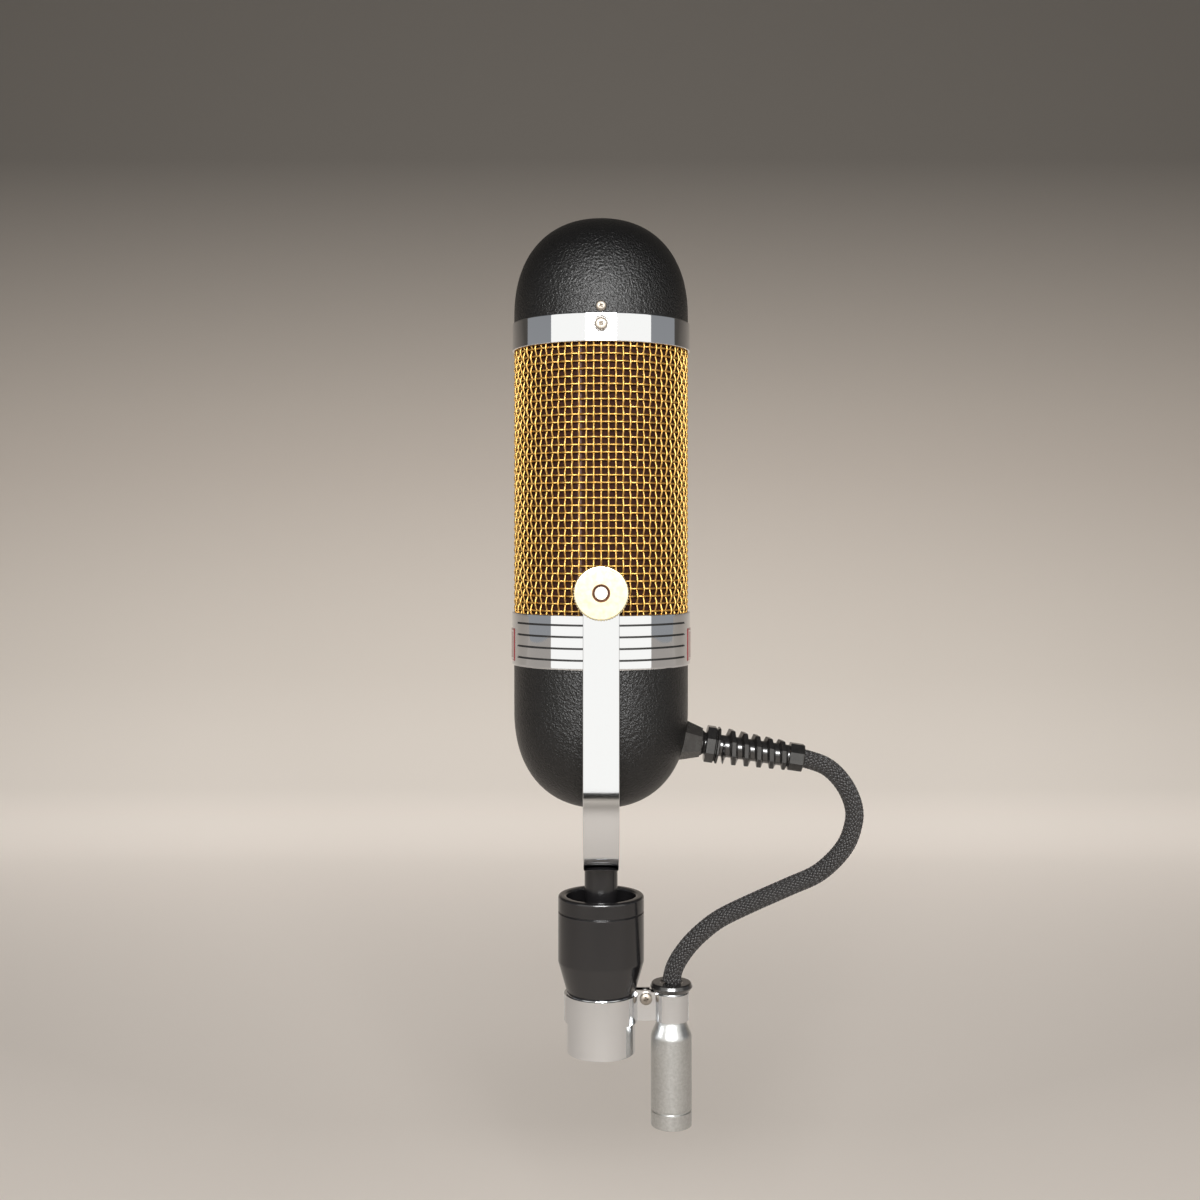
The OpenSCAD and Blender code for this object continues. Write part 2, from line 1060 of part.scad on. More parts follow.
// One half of the two-loop clip, on the side of -Y
module clip_half() {
  clip_side = 0.02;
  translate([0, 0, clip_z]) {
    difference() {
      union() {
        cylinder(r = hub_r + clip_side + clip_t, h = clip_h);
        translate([plug_x, 0, 0]) {
          cylinder(r = plug_neck_r + clip_side + clip_t, h = clip_h);
        }
      }
      translate([0, 0, -1]) {
        cylinder(r = hub_r + clip_side, h = clip_h + 2);
      }
      translate([plug_x, 0, -1]) {
        cylinder(r = plug_neck_r + clip_side, h = clip_h + 2);
      }
      translate([-50, -ear_y, -1]) {
        cube([150, 50, clip_h + 2]);
      }
    }
  }
  difference() {
    translate([hub_r - 1, -ear_y - clip_t, clip_z]) {
      cube([plug_x - plug_neck_r - hub_r + 2, clip_t, ear_top_z - clip_z]);
    }
    translate([0, 0, clip_z - 1]) {
      cylinder(r = hub_r + clip_side, h = hub_h - clip_z + 1);
    }
    translate([0, 0, hub_h]) {
      cylinder(r1 = hub_r + clip_side, r2 = hub_r + 2, h = 6);
    }
    translate([plug_x, 0, clip_z - 1]) {
      cylinder(r = plug_neck_r + clip_side, h = ear_top_z);
    }
    translate([plug_x, 0, plug_top_z]) {
      cylinder(r = grommet_r + loose_gap, h = ear_top_z);
    }
    translate([clip_screw_x, 0, clip_screw_z]) {
      along_minus_y() {
        cylinder(r = screw_shank_r + fit_gap, h = 20);
      }
    }
  }
}

module clip() {
  color("#cfd1d3") {
    both_sides() {
      clip_half();
    }
    for (x = [-hub_r - clip_t - 0.02, plug_x + plug_neck_r + 0.02]) {
      translate([x, -ear_y - 0.4, clip_z]) {
        cube([clip_t, 2 * ear_y + 0.8, clip_h]);
      }
    }
  }
}

module clip_screw() {
  color("#bdb9b1") {
    translate([clip_screw_x, 0, clip_screw_z]) {
      pan_screw(2.9, 2, screw_shank_r, 2 * ear_y + 2 * clip_t + 2, ear_y + clip_t, 15);
    }
  }
}

module plug_shell() {
  color("#c9cbcd") {
    translate([plug_x, 0, 0]) {
      difference() {
        rotate_extrude() {
          polygon([
            [0, plug_z],
            [plug_r - 0.5, plug_z],
            [plug_r, plug_z + 0.5],
            [plug_r, plug_shoulder_z],
            [plug_neck_r, plug_neck_z],
            [plug_neck_r, plug_top_z],
            [0, plug_top_z]
          ]);
        }
        translate([0, 0, plug_z - 1]) {
          cylinder(r = plug_bore_r, h = plug_shoulder_z - plug_z - 4);
        }
        translate([0, 0, -20]) {
          cylinder(r = cable_d / 2 + fit_gap, h = 60);
        }
      }
    }
  }
}

module plug_pin_places() {
  for (a = [0, 90, 180]) {
    translate([plug_x + pin_circle_r * cos(a), pin_circle_r * sin(a), 0]) {
      children();
    }
  }
}

module plug_insert() {
  color("#20211f") {
    difference() {
      translate([plug_x, 0, insert_z]) {
        cylinder(r = plug_bore_r - fit_gap, h = 8);
      }
      plug_pin_places() {
        translate([0, 0, insert_z - 1]) {
          cylinder(r = pin_r + 0.02, h = 12);
        }
      }
    }
  }
}

module plug_pins() {
  color("#d8b765") {
    plug_pin_places() {
      translate([0, 0, pin_z + pin_r]) {
        cylinder(r = pin_r, h = insert_z + 10 - pin_z - pin_r);
      }
      translate([0, 0, pin_z]) {
        cylinder(r1 = pin_r * 0.5, r2 = pin_r, h = pin_r);
      }
    }
  }
}

// The grommet's flange caps the connector and its sleeve goes down inside, round the wires
module grommet() {
  color("#181818") {
    translate([plug_x, 0, plug_top_z]) {
      cylinder(r1 = grommet_r - 1.4, r2 = grommet_r, h = grommet_h * 0.4);
      translate([0, 0, grommet_h * 0.4]) {
        cylinder(r1 = grommet_r, r2 = grommet_r - 1, h = grommet_h * 0.6);
      }
      translate([0, 0, -12]) {
        cylinder(d = cable_d, h = 12);
      }
    }
  }
}

// ---- cable ----

route = concat([for (p = lead_out) cable_start + p], [for (p = lead_in) cable_end + p]);
last_leg = len(route) - 2;

function curve_point(a, b, c, d, t) =
  0.5 * (2 * b + (c - a) * t + (2 * a - 5 * b + 4 * c - d) * t * t + (3 * b - a - 3 * c + d) * t * t * t);
function leg_point(i, t) = curve_point(
  route[max(i - 1, 0)], route[i], route[i + 1], route[min(i + 2, last_leg + 1)], t);
function unit(v) = v / norm(v);

module cable() {
  path = concat(
    [for (i = [0:last_leg]) for (k = [0:steps_per_leg - 1]) leg_point(i, k / steps_per_leg)],
    [route[last_leg + 1]]
  );
  last = len(path) - 1;
  heading = [for (i = [0:last])
    i == 0 ? [cos(boot_dip), -sin(boot_dip)] :
    i == last ? [0, -1] :
    unit(path[i + 1] - path[i - 1])];
  points = [for (i = [0:last]) for (k = [0:cable_sides - 1])
    let (a = 360 * k / cable_sides, across = cable_d / 2 * sin(a))
    [path[i][0] - heading[i][1] * across, cable_d / 2 * cos(a), path[i][1] + heading[i][0] * across]];
  sides = [for (i = [0:last - 1]) for (k = [0:cable_sides - 1])
    let (a = i * cable_sides + k, b = i * cable_sides + (k + 1) % cable_sides)
    each [[a, b, b + cable_sides], [a, b + cable_sides, a + cable_sides]]];
  ends = [
    [for (k = [cable_sides - 1:-1:0]) k],
    [for (k = [0:cable_sides - 1]) last * cable_sides + k]
  ];
  color("#2a2725") {
    polyhedron(points = points, faces = concat(sides, ends));
  }
}

top_casing();
top_band();
casing_screws();
band_screws();
grille_uprights();
grille_rows();
grille_hems();
grille_lining();
lower_band();
front_badge();
rear_badge();
lower_casing();
frame_roof();
frame_base();
frame_rods();
magnets();
pole_pieces();
ribbon();
ribbon_clamps();
ribbon_clamp_screws();
transformer_core();
transformer_coil();
transformer_bracket();
pivot_spacers();
pivot_studs();
gland_nut();
strain_boot();
left_washer();
left_nut();
right_washer();
right_nut();
yoke_strap();
yoke_bolt();
post();
cushion();
cup();
hub();
stand_bush();
clip();
clip_screw();
plug_shell();
plug_insert();
plug_pins();
grommet();
cable();
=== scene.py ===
import json
from math import cos, hypot, pi, radians, sin

import bmesh
import bpy
from mathutils import Matrix, Vector

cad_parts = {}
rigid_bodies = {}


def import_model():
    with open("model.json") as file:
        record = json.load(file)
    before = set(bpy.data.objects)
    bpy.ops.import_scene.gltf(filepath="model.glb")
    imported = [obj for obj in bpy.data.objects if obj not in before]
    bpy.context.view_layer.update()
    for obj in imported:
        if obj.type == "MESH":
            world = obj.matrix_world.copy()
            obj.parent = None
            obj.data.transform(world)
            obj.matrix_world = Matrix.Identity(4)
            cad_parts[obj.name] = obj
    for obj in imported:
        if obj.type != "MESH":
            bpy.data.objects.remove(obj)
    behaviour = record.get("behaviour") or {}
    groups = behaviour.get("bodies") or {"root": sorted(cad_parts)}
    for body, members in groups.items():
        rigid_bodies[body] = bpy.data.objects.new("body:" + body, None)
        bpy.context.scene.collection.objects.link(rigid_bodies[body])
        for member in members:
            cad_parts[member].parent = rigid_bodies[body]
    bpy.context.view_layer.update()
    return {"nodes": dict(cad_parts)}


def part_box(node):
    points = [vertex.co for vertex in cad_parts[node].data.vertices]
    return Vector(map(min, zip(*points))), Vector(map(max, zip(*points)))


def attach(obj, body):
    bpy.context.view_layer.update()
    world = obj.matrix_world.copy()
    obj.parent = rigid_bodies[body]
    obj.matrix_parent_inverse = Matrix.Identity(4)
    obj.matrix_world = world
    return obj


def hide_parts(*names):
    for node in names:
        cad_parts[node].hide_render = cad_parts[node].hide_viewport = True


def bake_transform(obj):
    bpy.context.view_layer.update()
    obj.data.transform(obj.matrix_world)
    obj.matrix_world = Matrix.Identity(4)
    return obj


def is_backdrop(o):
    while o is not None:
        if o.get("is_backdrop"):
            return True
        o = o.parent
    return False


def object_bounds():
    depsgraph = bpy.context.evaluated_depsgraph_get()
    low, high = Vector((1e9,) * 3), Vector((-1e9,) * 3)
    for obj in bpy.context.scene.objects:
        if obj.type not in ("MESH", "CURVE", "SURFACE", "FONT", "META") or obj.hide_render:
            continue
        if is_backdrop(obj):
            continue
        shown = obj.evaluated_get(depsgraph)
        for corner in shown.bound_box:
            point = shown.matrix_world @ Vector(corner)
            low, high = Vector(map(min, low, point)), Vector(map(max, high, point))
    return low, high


for leftover in list(bpy.data.objects):
    bpy.data.objects.remove(leftover)
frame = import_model()
node = frame["nodes"]


# ---- Camera ----
# A level camera on the near side, looking along the tilt axis. It stands level with the middle
# of the grille, and a small shift puts the horizon a little above the middle of the picture.



def linked(name, data):
    """A new object that shows some data, linked to the scene."""
    made = bpy.data.objects.new(name, data)
    bpy.context.scene.collection.objects.link(made)
    return made


camera_data = bpy.data.cameras.new("camera")
camera = linked("camera", camera_data)
camera_data.sensor_width = 36
camera_data.lens = 44.7
camera_data.shift_y = -0.05
camera_data.clip_start = 0.01
camera_data.clip_end = 50
camera.location = (-0.0005, -0.694, 0.238)
camera.rotation_euler = (radians(90), 0, 0)
bpy.context.scene.camera = camera


# ---- Braided cable ----
# The captive lead: two layers of wires under a black PVC jacket, with a tight braid of nylon yarn
# over it. The carriers of the braid pass over and under one another, and each holds four ends.

MM = 0.001
casing_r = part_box("top_casing")[1].x
dip = radians(8.6)
boot_length = 55.6 * MM
boot_foot = Vector((39.0 * MM, 0, 144.8 * MM))
boot_axis = Vector((cos(dip), 0, -sin(dip)))
cable_d = 8.7 * MM
cable_start = boot_foot + boot_axis * boot_length
cable_end = Vector((32.7 * MM, 0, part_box("grommet")[1].z))
lead_out = [(0, 0), (11, -4), (19, -12), (23.5, -22), (23.5, -31), (19, -42)]
lead_in = [(69, 51), (54, 44), (36, 36), (22, 29), (12, 21), (5.5, 13.5), (1.5, 6.5), (0, 0)]


def curve_through(knots, steps):
    """A smooth line through the knots, with so many steps between each two."""
    line = []
    for i in range(len(knots) - 1):
        a, b = knots[max(i - 1, 0)], knots[i]
        c, d = knots[i + 1], knots[min(i + 2, len(knots) - 1)]
        for k in range(steps):
            t = k / steps
            line.append(0.5 * (2 * b + (c - a) * t + (2 * a - 5 * b + 4 * c - d) * t * t
                               + (3 * b - a - 3 * c + d) * t ** 3))
    return line + [knots[-1]]


def add(tree, kind, put=(), **settings):
    """Adds a node. settings are its own properties, and put gives its inputs a value or a link."""
    made = tree.nodes.new(kind)
    for name, value in settings.items():
        setattr(made, name, value)
    for name, value in dict(put).items():
        if isinstance(value, bpy.types.NodeSocket):
            tree.links.new(value, made.inputs[name])
        else:
            made.inputs[name].default_value = value
    return made


def linear(hex_colour):
    """A colour written as sRGB hex, as linear light."""
    parts = [int(hex_colour[i:i + 2], 16) / 255 for i in (1, 3, 5)]
    return [p / 12.92 if p <= 0.04045 else ((p + 0.055) / 1.055) ** 2.4 for p in parts] + [1]


def finish_of(name, colour, roughness, metallic=0.0):
    """A new material with its surface shader: returns the material, its tree and the shader."""
    made = bpy.data.materials.new(name)
    made.use_nodes = True
    tree = made.node_tree
    tree.nodes.clear()
    surface = add(tree, "ShaderNodeBsdfPrincipled", {
        "Base Color": linear(colour), "Roughness": roughness, "Metallic": metallic})
    add(tree, "ShaderNodeOutputMaterial", {"Surface": surface.outputs[0]})
    return made, tree, surface


def grow(name, tree, inputs, start):
    """Runs a geometry tree on start, keeps its result as a plain mesh object and drops start."""
    modifier = start.modifiers.new("grow", "NODES")
    modifier.node_group = tree
    for item in tree.interface.items_tree:
        if item.name in inputs:
            modifier[item.identifier] = inputs[item.name]
    start.update_tag()
    seen = start.evaluated_get(bpy.context.evaluated_depsgraph_get())
    mesh = bpy.data.meshes.new_from_object(seen)
    bpy.data.objects.remove(start)
    mesh.name = name
    made = linked(name, mesh)
    return made


def input_sockets(tree, sockets):
    """Declares a geometry tree's inputs and its one output."""
    tree.interface.new_socket("Geometry", in_out="INPUT", socket_type="NodeSocketGeometry")
    for name, kind in sockets.items():
        tree.interface.new_socket(name, in_out="INPUT", socket_type="NodeSocket" + kind)
    tree.interface.new_socket("Geometry", in_out="OUTPUT", socket_type="NodeSocketGeometry")
    return add(tree, "NodeGroupInput").outputs


def maths(tree, operation, a, b=0.0, c=0.0):
    """One sum on two or three numbers or fields."""
    return add(tree, "ShaderNodeMath", {0: a, 1: b, 2: c}, operation=operation).outputs[0]


def two_tones(tree, surface, pattern, low, high):
    """Colours a surface from one (place, hex colour) of a pattern to another."""
    tint = add(tree, "ShaderNodeValToRGB", {"Fac": pattern})
    for stop, (place, colour) in zip(tint.color_ramp.elements, (low, high)):
        stop.position = place
        stop.color = linear(colour)
    tree.links.new(tint.outputs["Color"], surface.inputs["Base Color"])
    return tint.outputs["Color"]


def raised(tree, surface, pattern, strength, depth):
    """Gives a surface the fine relief of a pattern, so many metres deep."""
    relief = add(tree, "ShaderNodeBump", {"Strength": strength, "Distance": depth, "Height": pattern})
    tree.links.new(relief.outputs["Normal"], surface.inputs["Normal"])


def noise(tree, scale, detail, **more):
    """A noise pattern fixed to the object, with so many waves to the metre."""
    where = add(tree, "ShaderNodeTexCoord").outputs["Object"]
    put = {"Vector": where, "Scale": scale, "Detail": detail, **more}
    return add(tree, "ShaderNodeTexNoise", put).outputs["Fac"]


# Braided nylon: matt yarn, a little brown where it catches the light, dark between the carriers.
braid_nylon, tree, surface = finish_of("braided nylon yarn", "#1c1a19", 0.48)
yarn = noise(tree, 1400, 3)
two_tones(tree, surface, yarn, (0.35, "#121010"), (0.7, "#1f1c1b"))
raised(tree, surface, yarn, 0.15, 0.00004)
surface.inputs["Sheen Weight"].default_value = 0.1
surface.inputs["Sheen Roughness"].default_value = 0.4

# PVC jacket: smooth black, seen only as the dark ground between the carriers.
jacket_pvc, tree, surface = finish_of("black PVC jacket", "#0c0b0b", 0.6)
raised(tree, surface, noise(tree, 9000, 2), 0.3, 0.00005)

# The braid: each carrier is one flat strand wound round the sampled line.
braid = bpy.data.node_groups.new("braided jacket", "GeometryNodeTree")
given = input_sockets(braid, {
    "Carriers": "Int", "Samples": "Int", "Turns": "Float", "Radius": "Float", "Weave": "Float",
    "Width": "Float", "Thickness": "Float", "Yarn": "Material", "Jacket": "Material"})
whole = add(braid, "GeometryNodeJoinGeometry")
line = add(braid, "GeometryNodeCurvePrimitiveLine", {"End": (0, 0, 1)})
line = add(braid, "GeometryNodeResampleCurve", {"Curve": line.outputs[0], "Count": given["Samples"]})
along = add(braid, "GeometryNodeSplineParameter").outputs["Factor"]
flat = add(braid, "GeometryNodeCurvePrimitiveCircle", {"Resolution": 5, "Radius": 1.0})
half_width = maths(braid, "MULTIPLY", given["Width"], 0.5)
half_thick = maths(braid, "MULTIPLY", given["Thickness"], 0.5)
squeeze = add(braid, "ShaderNodeCombineXYZ", {"X": half_thick, "Y": half_width, "Z": 1.0})
flat = add(braid, "GeometryNodeTransform", {
    "Geometry": flat.outputs[0], "Scale": squeeze.outputs[0]})
spot = add(braid, "GeometryNodeSampleCurve", {"Curves": given["Geometry"], "Factor": along})
side = add(braid, "ShaderNodeVectorMath", {
    0: spot.outputs["Tangent"], 1: spot.outputs["Normal"]}, operation="CROSS_PRODUCT")
wind = maths(braid, "MULTIPLY", maths(braid, "MULTIPLY", along, given["Turns"]), 2 * pi)
wave = maths(braid, "COSINE", maths(braid, "MULTIPLY", wind, given["Carriers"]))
for hand in (1, -1):
    wound = add(braid, "GeometryNodeDuplicateElements", {
        "Geometry": line.outputs[0], "Amount": given["Carriers"]}, domain="SPLINE")
    share = maths(braid, "DIVIDE", wound.outputs["Duplicate Index"], given["Carriers"])
    angle = maths(braid, "MULTIPLY_ADD", share, 2 * pi, maths(braid, "MULTIPLY", wind, hand))
    lift = maths(braid, "MULTIPLY", wave, maths(braid, "MULTIPLY", given["Weave"], hand))
    reach = maths(braid, "ADD", given["Radius"], lift)
    out_a = add(braid, "ShaderNodeVectorMath", {
        0: spot.outputs["Normal"], "Scale": maths(braid, "COSINE", angle)}, operation="SCALE")
    out_b = add(braid, "ShaderNodeVectorMath", {
        0: side.outputs[0], "Scale": maths(braid, "SINE", angle)}, operation="SCALE")
    outward = add(braid, "ShaderNodeVectorMath", {0: out_a.outputs[0], 1: out_b.outputs[0]})
    offset = add(braid, "ShaderNodeVectorMath", {
        0: outward.outputs[0], "Scale": reach}, operation="SCALE")
    place = add(braid, "ShaderNodeVectorMath", {0: spot.outputs["Position"], 1: offset.outputs[0]})
    laid = add(braid, "GeometryNodeSetPosition", {
        "Geometry": wound.outputs["Geometry"], "Position": place.outputs[0]})
    laid = add(braid, "GeometryNodeSetCurveNormal", {
        "Curve": laid.outputs[0], "Normal": outward.outputs[0]}, mode="FREE")
    strand = add(braid, "GeometryNodeCurveToMesh", {
        "Curve": laid.outputs[0], "Profile Curve": flat.outputs[0], "Fill Caps": True})
    strand = add(braid, "GeometryNodeSetMaterial", {
        "Geometry": strand.outputs[0], "Material": given["Yarn"]})
    braid.links.new(strand.outputs[0], whole.inputs[0])
inner = add(braid, "GeometryNodeCurvePrimitiveCircle", {
    "Resolution": 16, "Radius": maths(braid, "SUBTRACT", given["Radius"], given["Weave"])})
tube = add(braid, "GeometryNodeCurveToMesh", {
    "Curve": given["Geometry"], "Profile Curve": inner.outputs[0], "Fill Caps": True})
tube = add(braid, "GeometryNodeSetMaterial", {
    "Geometry": tube.outputs[0], "Material": given["Jacket"]})
braid.links.new(tube.outputs[0], whole.inputs[0])
smooth = add(braid, "GeometryNodeSetShadeSmooth", {"Geometry": whole.outputs[0]})
whole = add(braid, "GeometryNodeRealizeInstances", {"Geometry": smooth.outputs[0]})
add(braid, "NodeGroupOutput", {"Geometry": whole.outputs[0]})

knots = [cable_start + Vector((x, 0, z)) * MM for x, z in lead_out]
knots += [cable_end + Vector((x, 0, z)) * MM for x, z in lead_in]
cable_line = curve_through(knots, 8)
line_data = bpy.data.curves.new("cable_line", "CURVE")
line_data.dimensions = "3D"
spline = line_data.splines.new("POLY")
spline.points.add(len(cable_line) - 1)
for point, at in zip(spline.points, cable_line):
    point.co = (*at, 1)
line_object = linked("cable_line", line_data)
cable = grow("braided_cable", braid, {
    "Carriers": 14, "Samples": 561, "Turns": 5.0, "Radius": cable_d / 2 - 0.45 * MM,
    "Weave": 0.15 * MM, "Width": 1.5 * MM, "Thickness": 0.5 * MM,
    "Yarn": braid_nylon, "Jacket": jacket_pvc}, line_object)
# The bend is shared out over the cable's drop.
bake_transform(cable)
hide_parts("cable")


# ---- Casings ----
# Two spun steel cups close the head above and below the grille. They are sprayed with black
# wrinkle enamel, which dries to a fine leathery grain with soft, broken highlights.

casing_wall = 1.2 * MM
crown_h = 46 * MM
crown_power = 2.3
sharp_from = radians(35)


def spin(name, rows, columns, radius=None, ring=False):
    """Turns rows of (radius, height) about +Z. radius(i, angle, r) may change a row round the
    turn. A ring's rows close on themselves, and any other shape starts and ends on the axis."""
    mesh = bmesh.new()
    rounds = []
    for i, (r, z) in enumerate(rows):
        if r < 1e-9 and not ring:
            rounds.append([mesh.verts.new((0, 0, z))])
            continue
        turn = []
        for k in range(columns):
            a = 2 * pi * k / columns
            reach = radius(i, a, r) if radius else r
            turn.append(mesh.verts.new((reach * cos(a), reach * sin(a), z)))
        rounds.append(turn)
    pairs = list(zip(rounds, rounds[1:])) + ([(rounds[-1], rounds[0])] if ring else [])
    for low, high in pairs:
        for k in range(columns):
            n = (k + 1) % columns
            corners = [low[k % len(low)], low[n % len(low)], high[n % len(high)], high[k % len(high)]]
            unique = list(dict.fromkeys(corners))
            if len(unique) > 2:
                mesh.faces.new(unique)
    return closed_piece(name, mesh)


def mesh_data(name, mesh):
    """A mesh's data, once its building is done."""
    data = bpy.data.meshes.new(name)
    mesh.to_mesh(data)
    mesh.free()
    return data


def closed_piece(name, mesh):
    """Links a closed mesh as a piece, with its faces outward."""
    bmesh.ops.recalc_face_normals(mesh, faces=mesh.faces)
    return smoothed(linked(name, mesh_data(name, mesh)))


def smoothed(made):
    """Makes a piece smooth but for its sharp edges, with flats that stay flat."""
    made.data.shade_smooth()
    made.data.set_sharp_from_angle(angle=sharp_from)
    flats = made.modifiers.new("flats", "WEIGHTED_NORMAL")
    flats.keep_sharp = True
    flats.weight = 60
    return made


def soften(corners, steps=4):
    """Rounds each (radius, height, rounding) corner of a closed outline, in millimetres."""
    out = []
    for i, (x, y, cut) in enumerate(corners):
        here = Vector((x, y)) * MM
        if not cut:
            out.append(tuple(here))
            continue
        before = Vector(corners[i - 1][:2]) * MM - here
        after = Vector(corners[(i + 1) % len(corners)][:2]) * MM - here
        a = here + before.normalized() * cut * MM
        b = here + after.normalized() * cut * MM
        for k in range(steps + 1):
            t = k / steps
            out.append(tuple(a * (1 - t) ** 2 + here * 2 * t * (1 - t) + b * t * t))
    return out


def crown(r, h, steps):
    """The squared-off quarter curve of a casing, from its widest ring to the axis."""
    points = []
    for i in range(steps + 1):
        a = pi / 2 * i / steps
        points.append((r * max(cos(a), 0) ** (2 / crown_power), h * max(sin(a), 0) ** (2 / crown_power)))
    points[-1] = (0, h)
    return points


def wear(made, body, slot, stands_for, *finishes):
    """Gives a piece its finishes and puts it on its body, in place of its CAD node."""
    for finish in finishes:
        made.data.materials.append(finish)
    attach(made, body)
    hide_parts(stands_for)


# Wrinkle enamel: folds about 0.8 mm across in a satin black paint.
wrinkle_enamel, tree, surface = finish_of("black wrinkle enamel", "#080707", 0.36)
where = add(tree, "ShaderNodeTexCoord")
drift = add(tree, "ShaderNodeTexNoise", {
    "Vector": where.outputs["Object"], "Scale": 420, "Detail": 2, "Distortion": 0.6})
shove = add(tree, "ShaderNodeVectorMath", {
    0: drift.outputs["Color"], "Scale": 0.0012}, operation="SCALE")
folded = add(tree, "ShaderNodeVectorMath", {0: where.outputs["Object"], 1: shove.outputs[0]})
folds = add(tree, "ShaderNodeTexVoronoi", {
    "Vector": folded.outputs[0], "Scale": 1000}, feature="SMOOTH_F1")
fine = add(tree, "ShaderNodeTexNoise", {
    "Vector": folded.outputs[0], "Scale": 1900, "Detail": 3, "Roughness": 0.6})
height = add(tree, "ShaderNodeMix", {
    "Factor": 0.45, "A": folds.outputs["Distance"], "B": fine.outputs["Fac"]})
raised(tree, surface, height.outputs[0], 1.0, 0.0006)
two_tones(tree, surface, height.outputs[0], (0.25, "#0b0a0a"), (0.65, "#050505"))
surface.inputs["IOR"].default_value = 1.52
surface.inputs["Specular IOR Level"].default_value = 0.4

for name, upright, nodes in (("top_shell", 1, "top_casing"), ("lower_shell", -1, "lower_casing")):
    low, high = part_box(nodes)
    rim = low.z if upright > 0 else high.z
    shoulder = high.z - crown_h if upright > 0 else low.z + crown_h
    outer = [(r, shoulder + upright * h) for r, h in crown(casing_r, crown_h, 40)]
    inner = [(r, shoulder + upright * h)
             for r, h in crown(casing_r - casing_wall, crown_h - casing_wall, 30)][::-1]
    rows = outer + inner + [(casing_r - casing_wall, rim), (casing_r, rim)]
    # the outline starts and ends at the crown, on the axis, inside and out
    start = len(outer)
    rows = rows[start:] + rows[:start]
    shell = spin(name, rows, 160)
    wear(shell, "head", "wrinkle_enamel", nodes, wrinkle_enamel)


# ---- Bands ----
# Two turned brass rings, polished and chromed, close the ends of the grille. The upper one is
# plain, and the lower one has four grooves on each side, their floors painted black as shade, with room
# for a badge between them.

band_in = casing_r + 0.05 * MM
top_band_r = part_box("top_band")[1].x
low_band_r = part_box("lower_band")[1].y
groove_depth = 0.5 * MM
groove_h = 0.7 * MM
groove_reach = radians(66)
dimple_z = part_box("top_band")[1].z - 5 * MM
dimple_depth, dimple_r, dimple_edge = 0.3 * MM, 2.5 * MM, 1.4 * MM


def mottled(tree, surface, pattern, low, high):
    """Lets a pattern move a surface's roughness between two values."""
    spread = add(tree, "ShaderNodeMapRange", {"Value": pattern, "To Min": low, "To Max": high})
    tree.links.new(spread.outputs[0], surface.inputs["Roughness"])


# Chrome: a mirror with a trace of polishing haze, so that long reflections keep crisp edges.
polished_chrome, tree, surface = finish_of("polished chrome", "#dfe1e4", 0.025, 1.0)
haze = noise(tree, 60, 4)
mottled(tree, surface, haze, 0.012, 0.04)
raised(tree, surface, haze, 0.05, 0.00003)

# Painted shade: dull black on the groove floors, where shade falls. The panel rail uses the same black.
groove_shade_and_rail_black, tree, surface = finish_of("black: painted groove shade, panel rail", "#141312", 0.55)
raised(tree, surface, noise(tree, 14000, 2), 0.3, 0.00005)


def ease(t):
    """A smooth step from 0 to 1."""
    t = min(max(t, 0), 1)
    return t * t * (3 - 2 * t)


def from_pivot(angle):
    """How far an angle round the head is from the nearer end of the tilt axis."""
    return abs((angle % pi) - pi / 2)


def level_rows(low, high, count):
    return [low + (high - low) * i / count for i in range(count + 1)]


def ring_outline(inside, outside, low, high, face_rows, rounding=0.5, steps=4):
    """A ring's outline in metres: a rounded outer face with extra rows, and a plain bore."""
    cut = rounding * MM
    out = [(inside, low)]
    for k in range(steps + 1):
        a = pi / 2 * k / steps
        out.append((outside - cut + cut * sin(a), low + cut - cut * cos(a)))
    out += [(outside, z) for z in face_rows if low + cut < z < high - cut]
    for k in range(steps + 1):
        a = pi / 2 * k / steps
        out.append((outside - cut + cut * cos(a), high - cut + cut * sin(a)))
    return out + [(inside, high)]


low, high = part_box("top_band")
rows = ring_outline(band_in, top_band_r, low.z, high.z, level_rows(low.z, high.z, 56), 0.4)


def dimpled(i, angle, r):
    """Presses the seats of the two screws into the upper band."""
    if r < top_band_r - 0.01 * MM:
        return r
    away = hypot(from_pivot(angle) * r, rows[i][1] - dimple_z)
    return r - dimple_depth * (1 - ease((away - dimple_r) / dimple_edge))


upper_band = spin("upper_band", rows, 900, dimpled, ring=True)
wear(upper_band, "head", "chrome", "top_band", polished_chrome)

low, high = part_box("lower_band")
groove_step = (high.z - low.z) / 4.7
groove_zs = [low.z + (i + 0.85) * groove_step for i in range(4)]
levels = level_rows(low.z, high.z, 18)
levels += [z + k * 0.09 * MM for z in groove_zs for k in range(-6, 7)]
rows = ring_outline(band_in, low_band_r, low.z, high.z, sorted(levels), 0.4)


def grooved(i, angle, r):
    """Cuts the grooves, each with rounded ends, into both sides of the lower band."""
    if r < low_band_r - 0.01 * MM:
        return r
    beyond = max(from_pivot(angle) - groove_reach, 0) * r
    away = min(hypot(beyond, rows[i][1] - z) for z in groove_zs)
    return r - groove_depth * (1 - ease((away - groove_h / 2 + 0.05 * MM) / (0.12 * MM)))


grooved_band = spin("grooved_band", rows, 720, grooved, ring=True)
grooved_band.data.materials.append(polished_chrome)
grooved_band.data.materials.append(groove_shade_and_rail_black)
# the groove floors take the painted shade
for face in grooved_band.data.polygons:
    middle = face.center.xy.length
    if band_in + 0.2 * MM < middle < low_band_r - 0.2 * MM and low.z + MM < face.center.z < high.z - MM:
        face.material_index = 1
wear(grooved_band, "head", "chrome", "lower_band")


# ---- Badges ----
# A small curved plate on the front and on the rear of the lower band, fired all over in dark red
# enamel. A raised chromed line runs round the plate just inside its edge.

badge_low, badge_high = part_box("rear_badge")
badge_out = badge_high.x
badge_reach = radians(18)
rim_w = 1.3 * MM

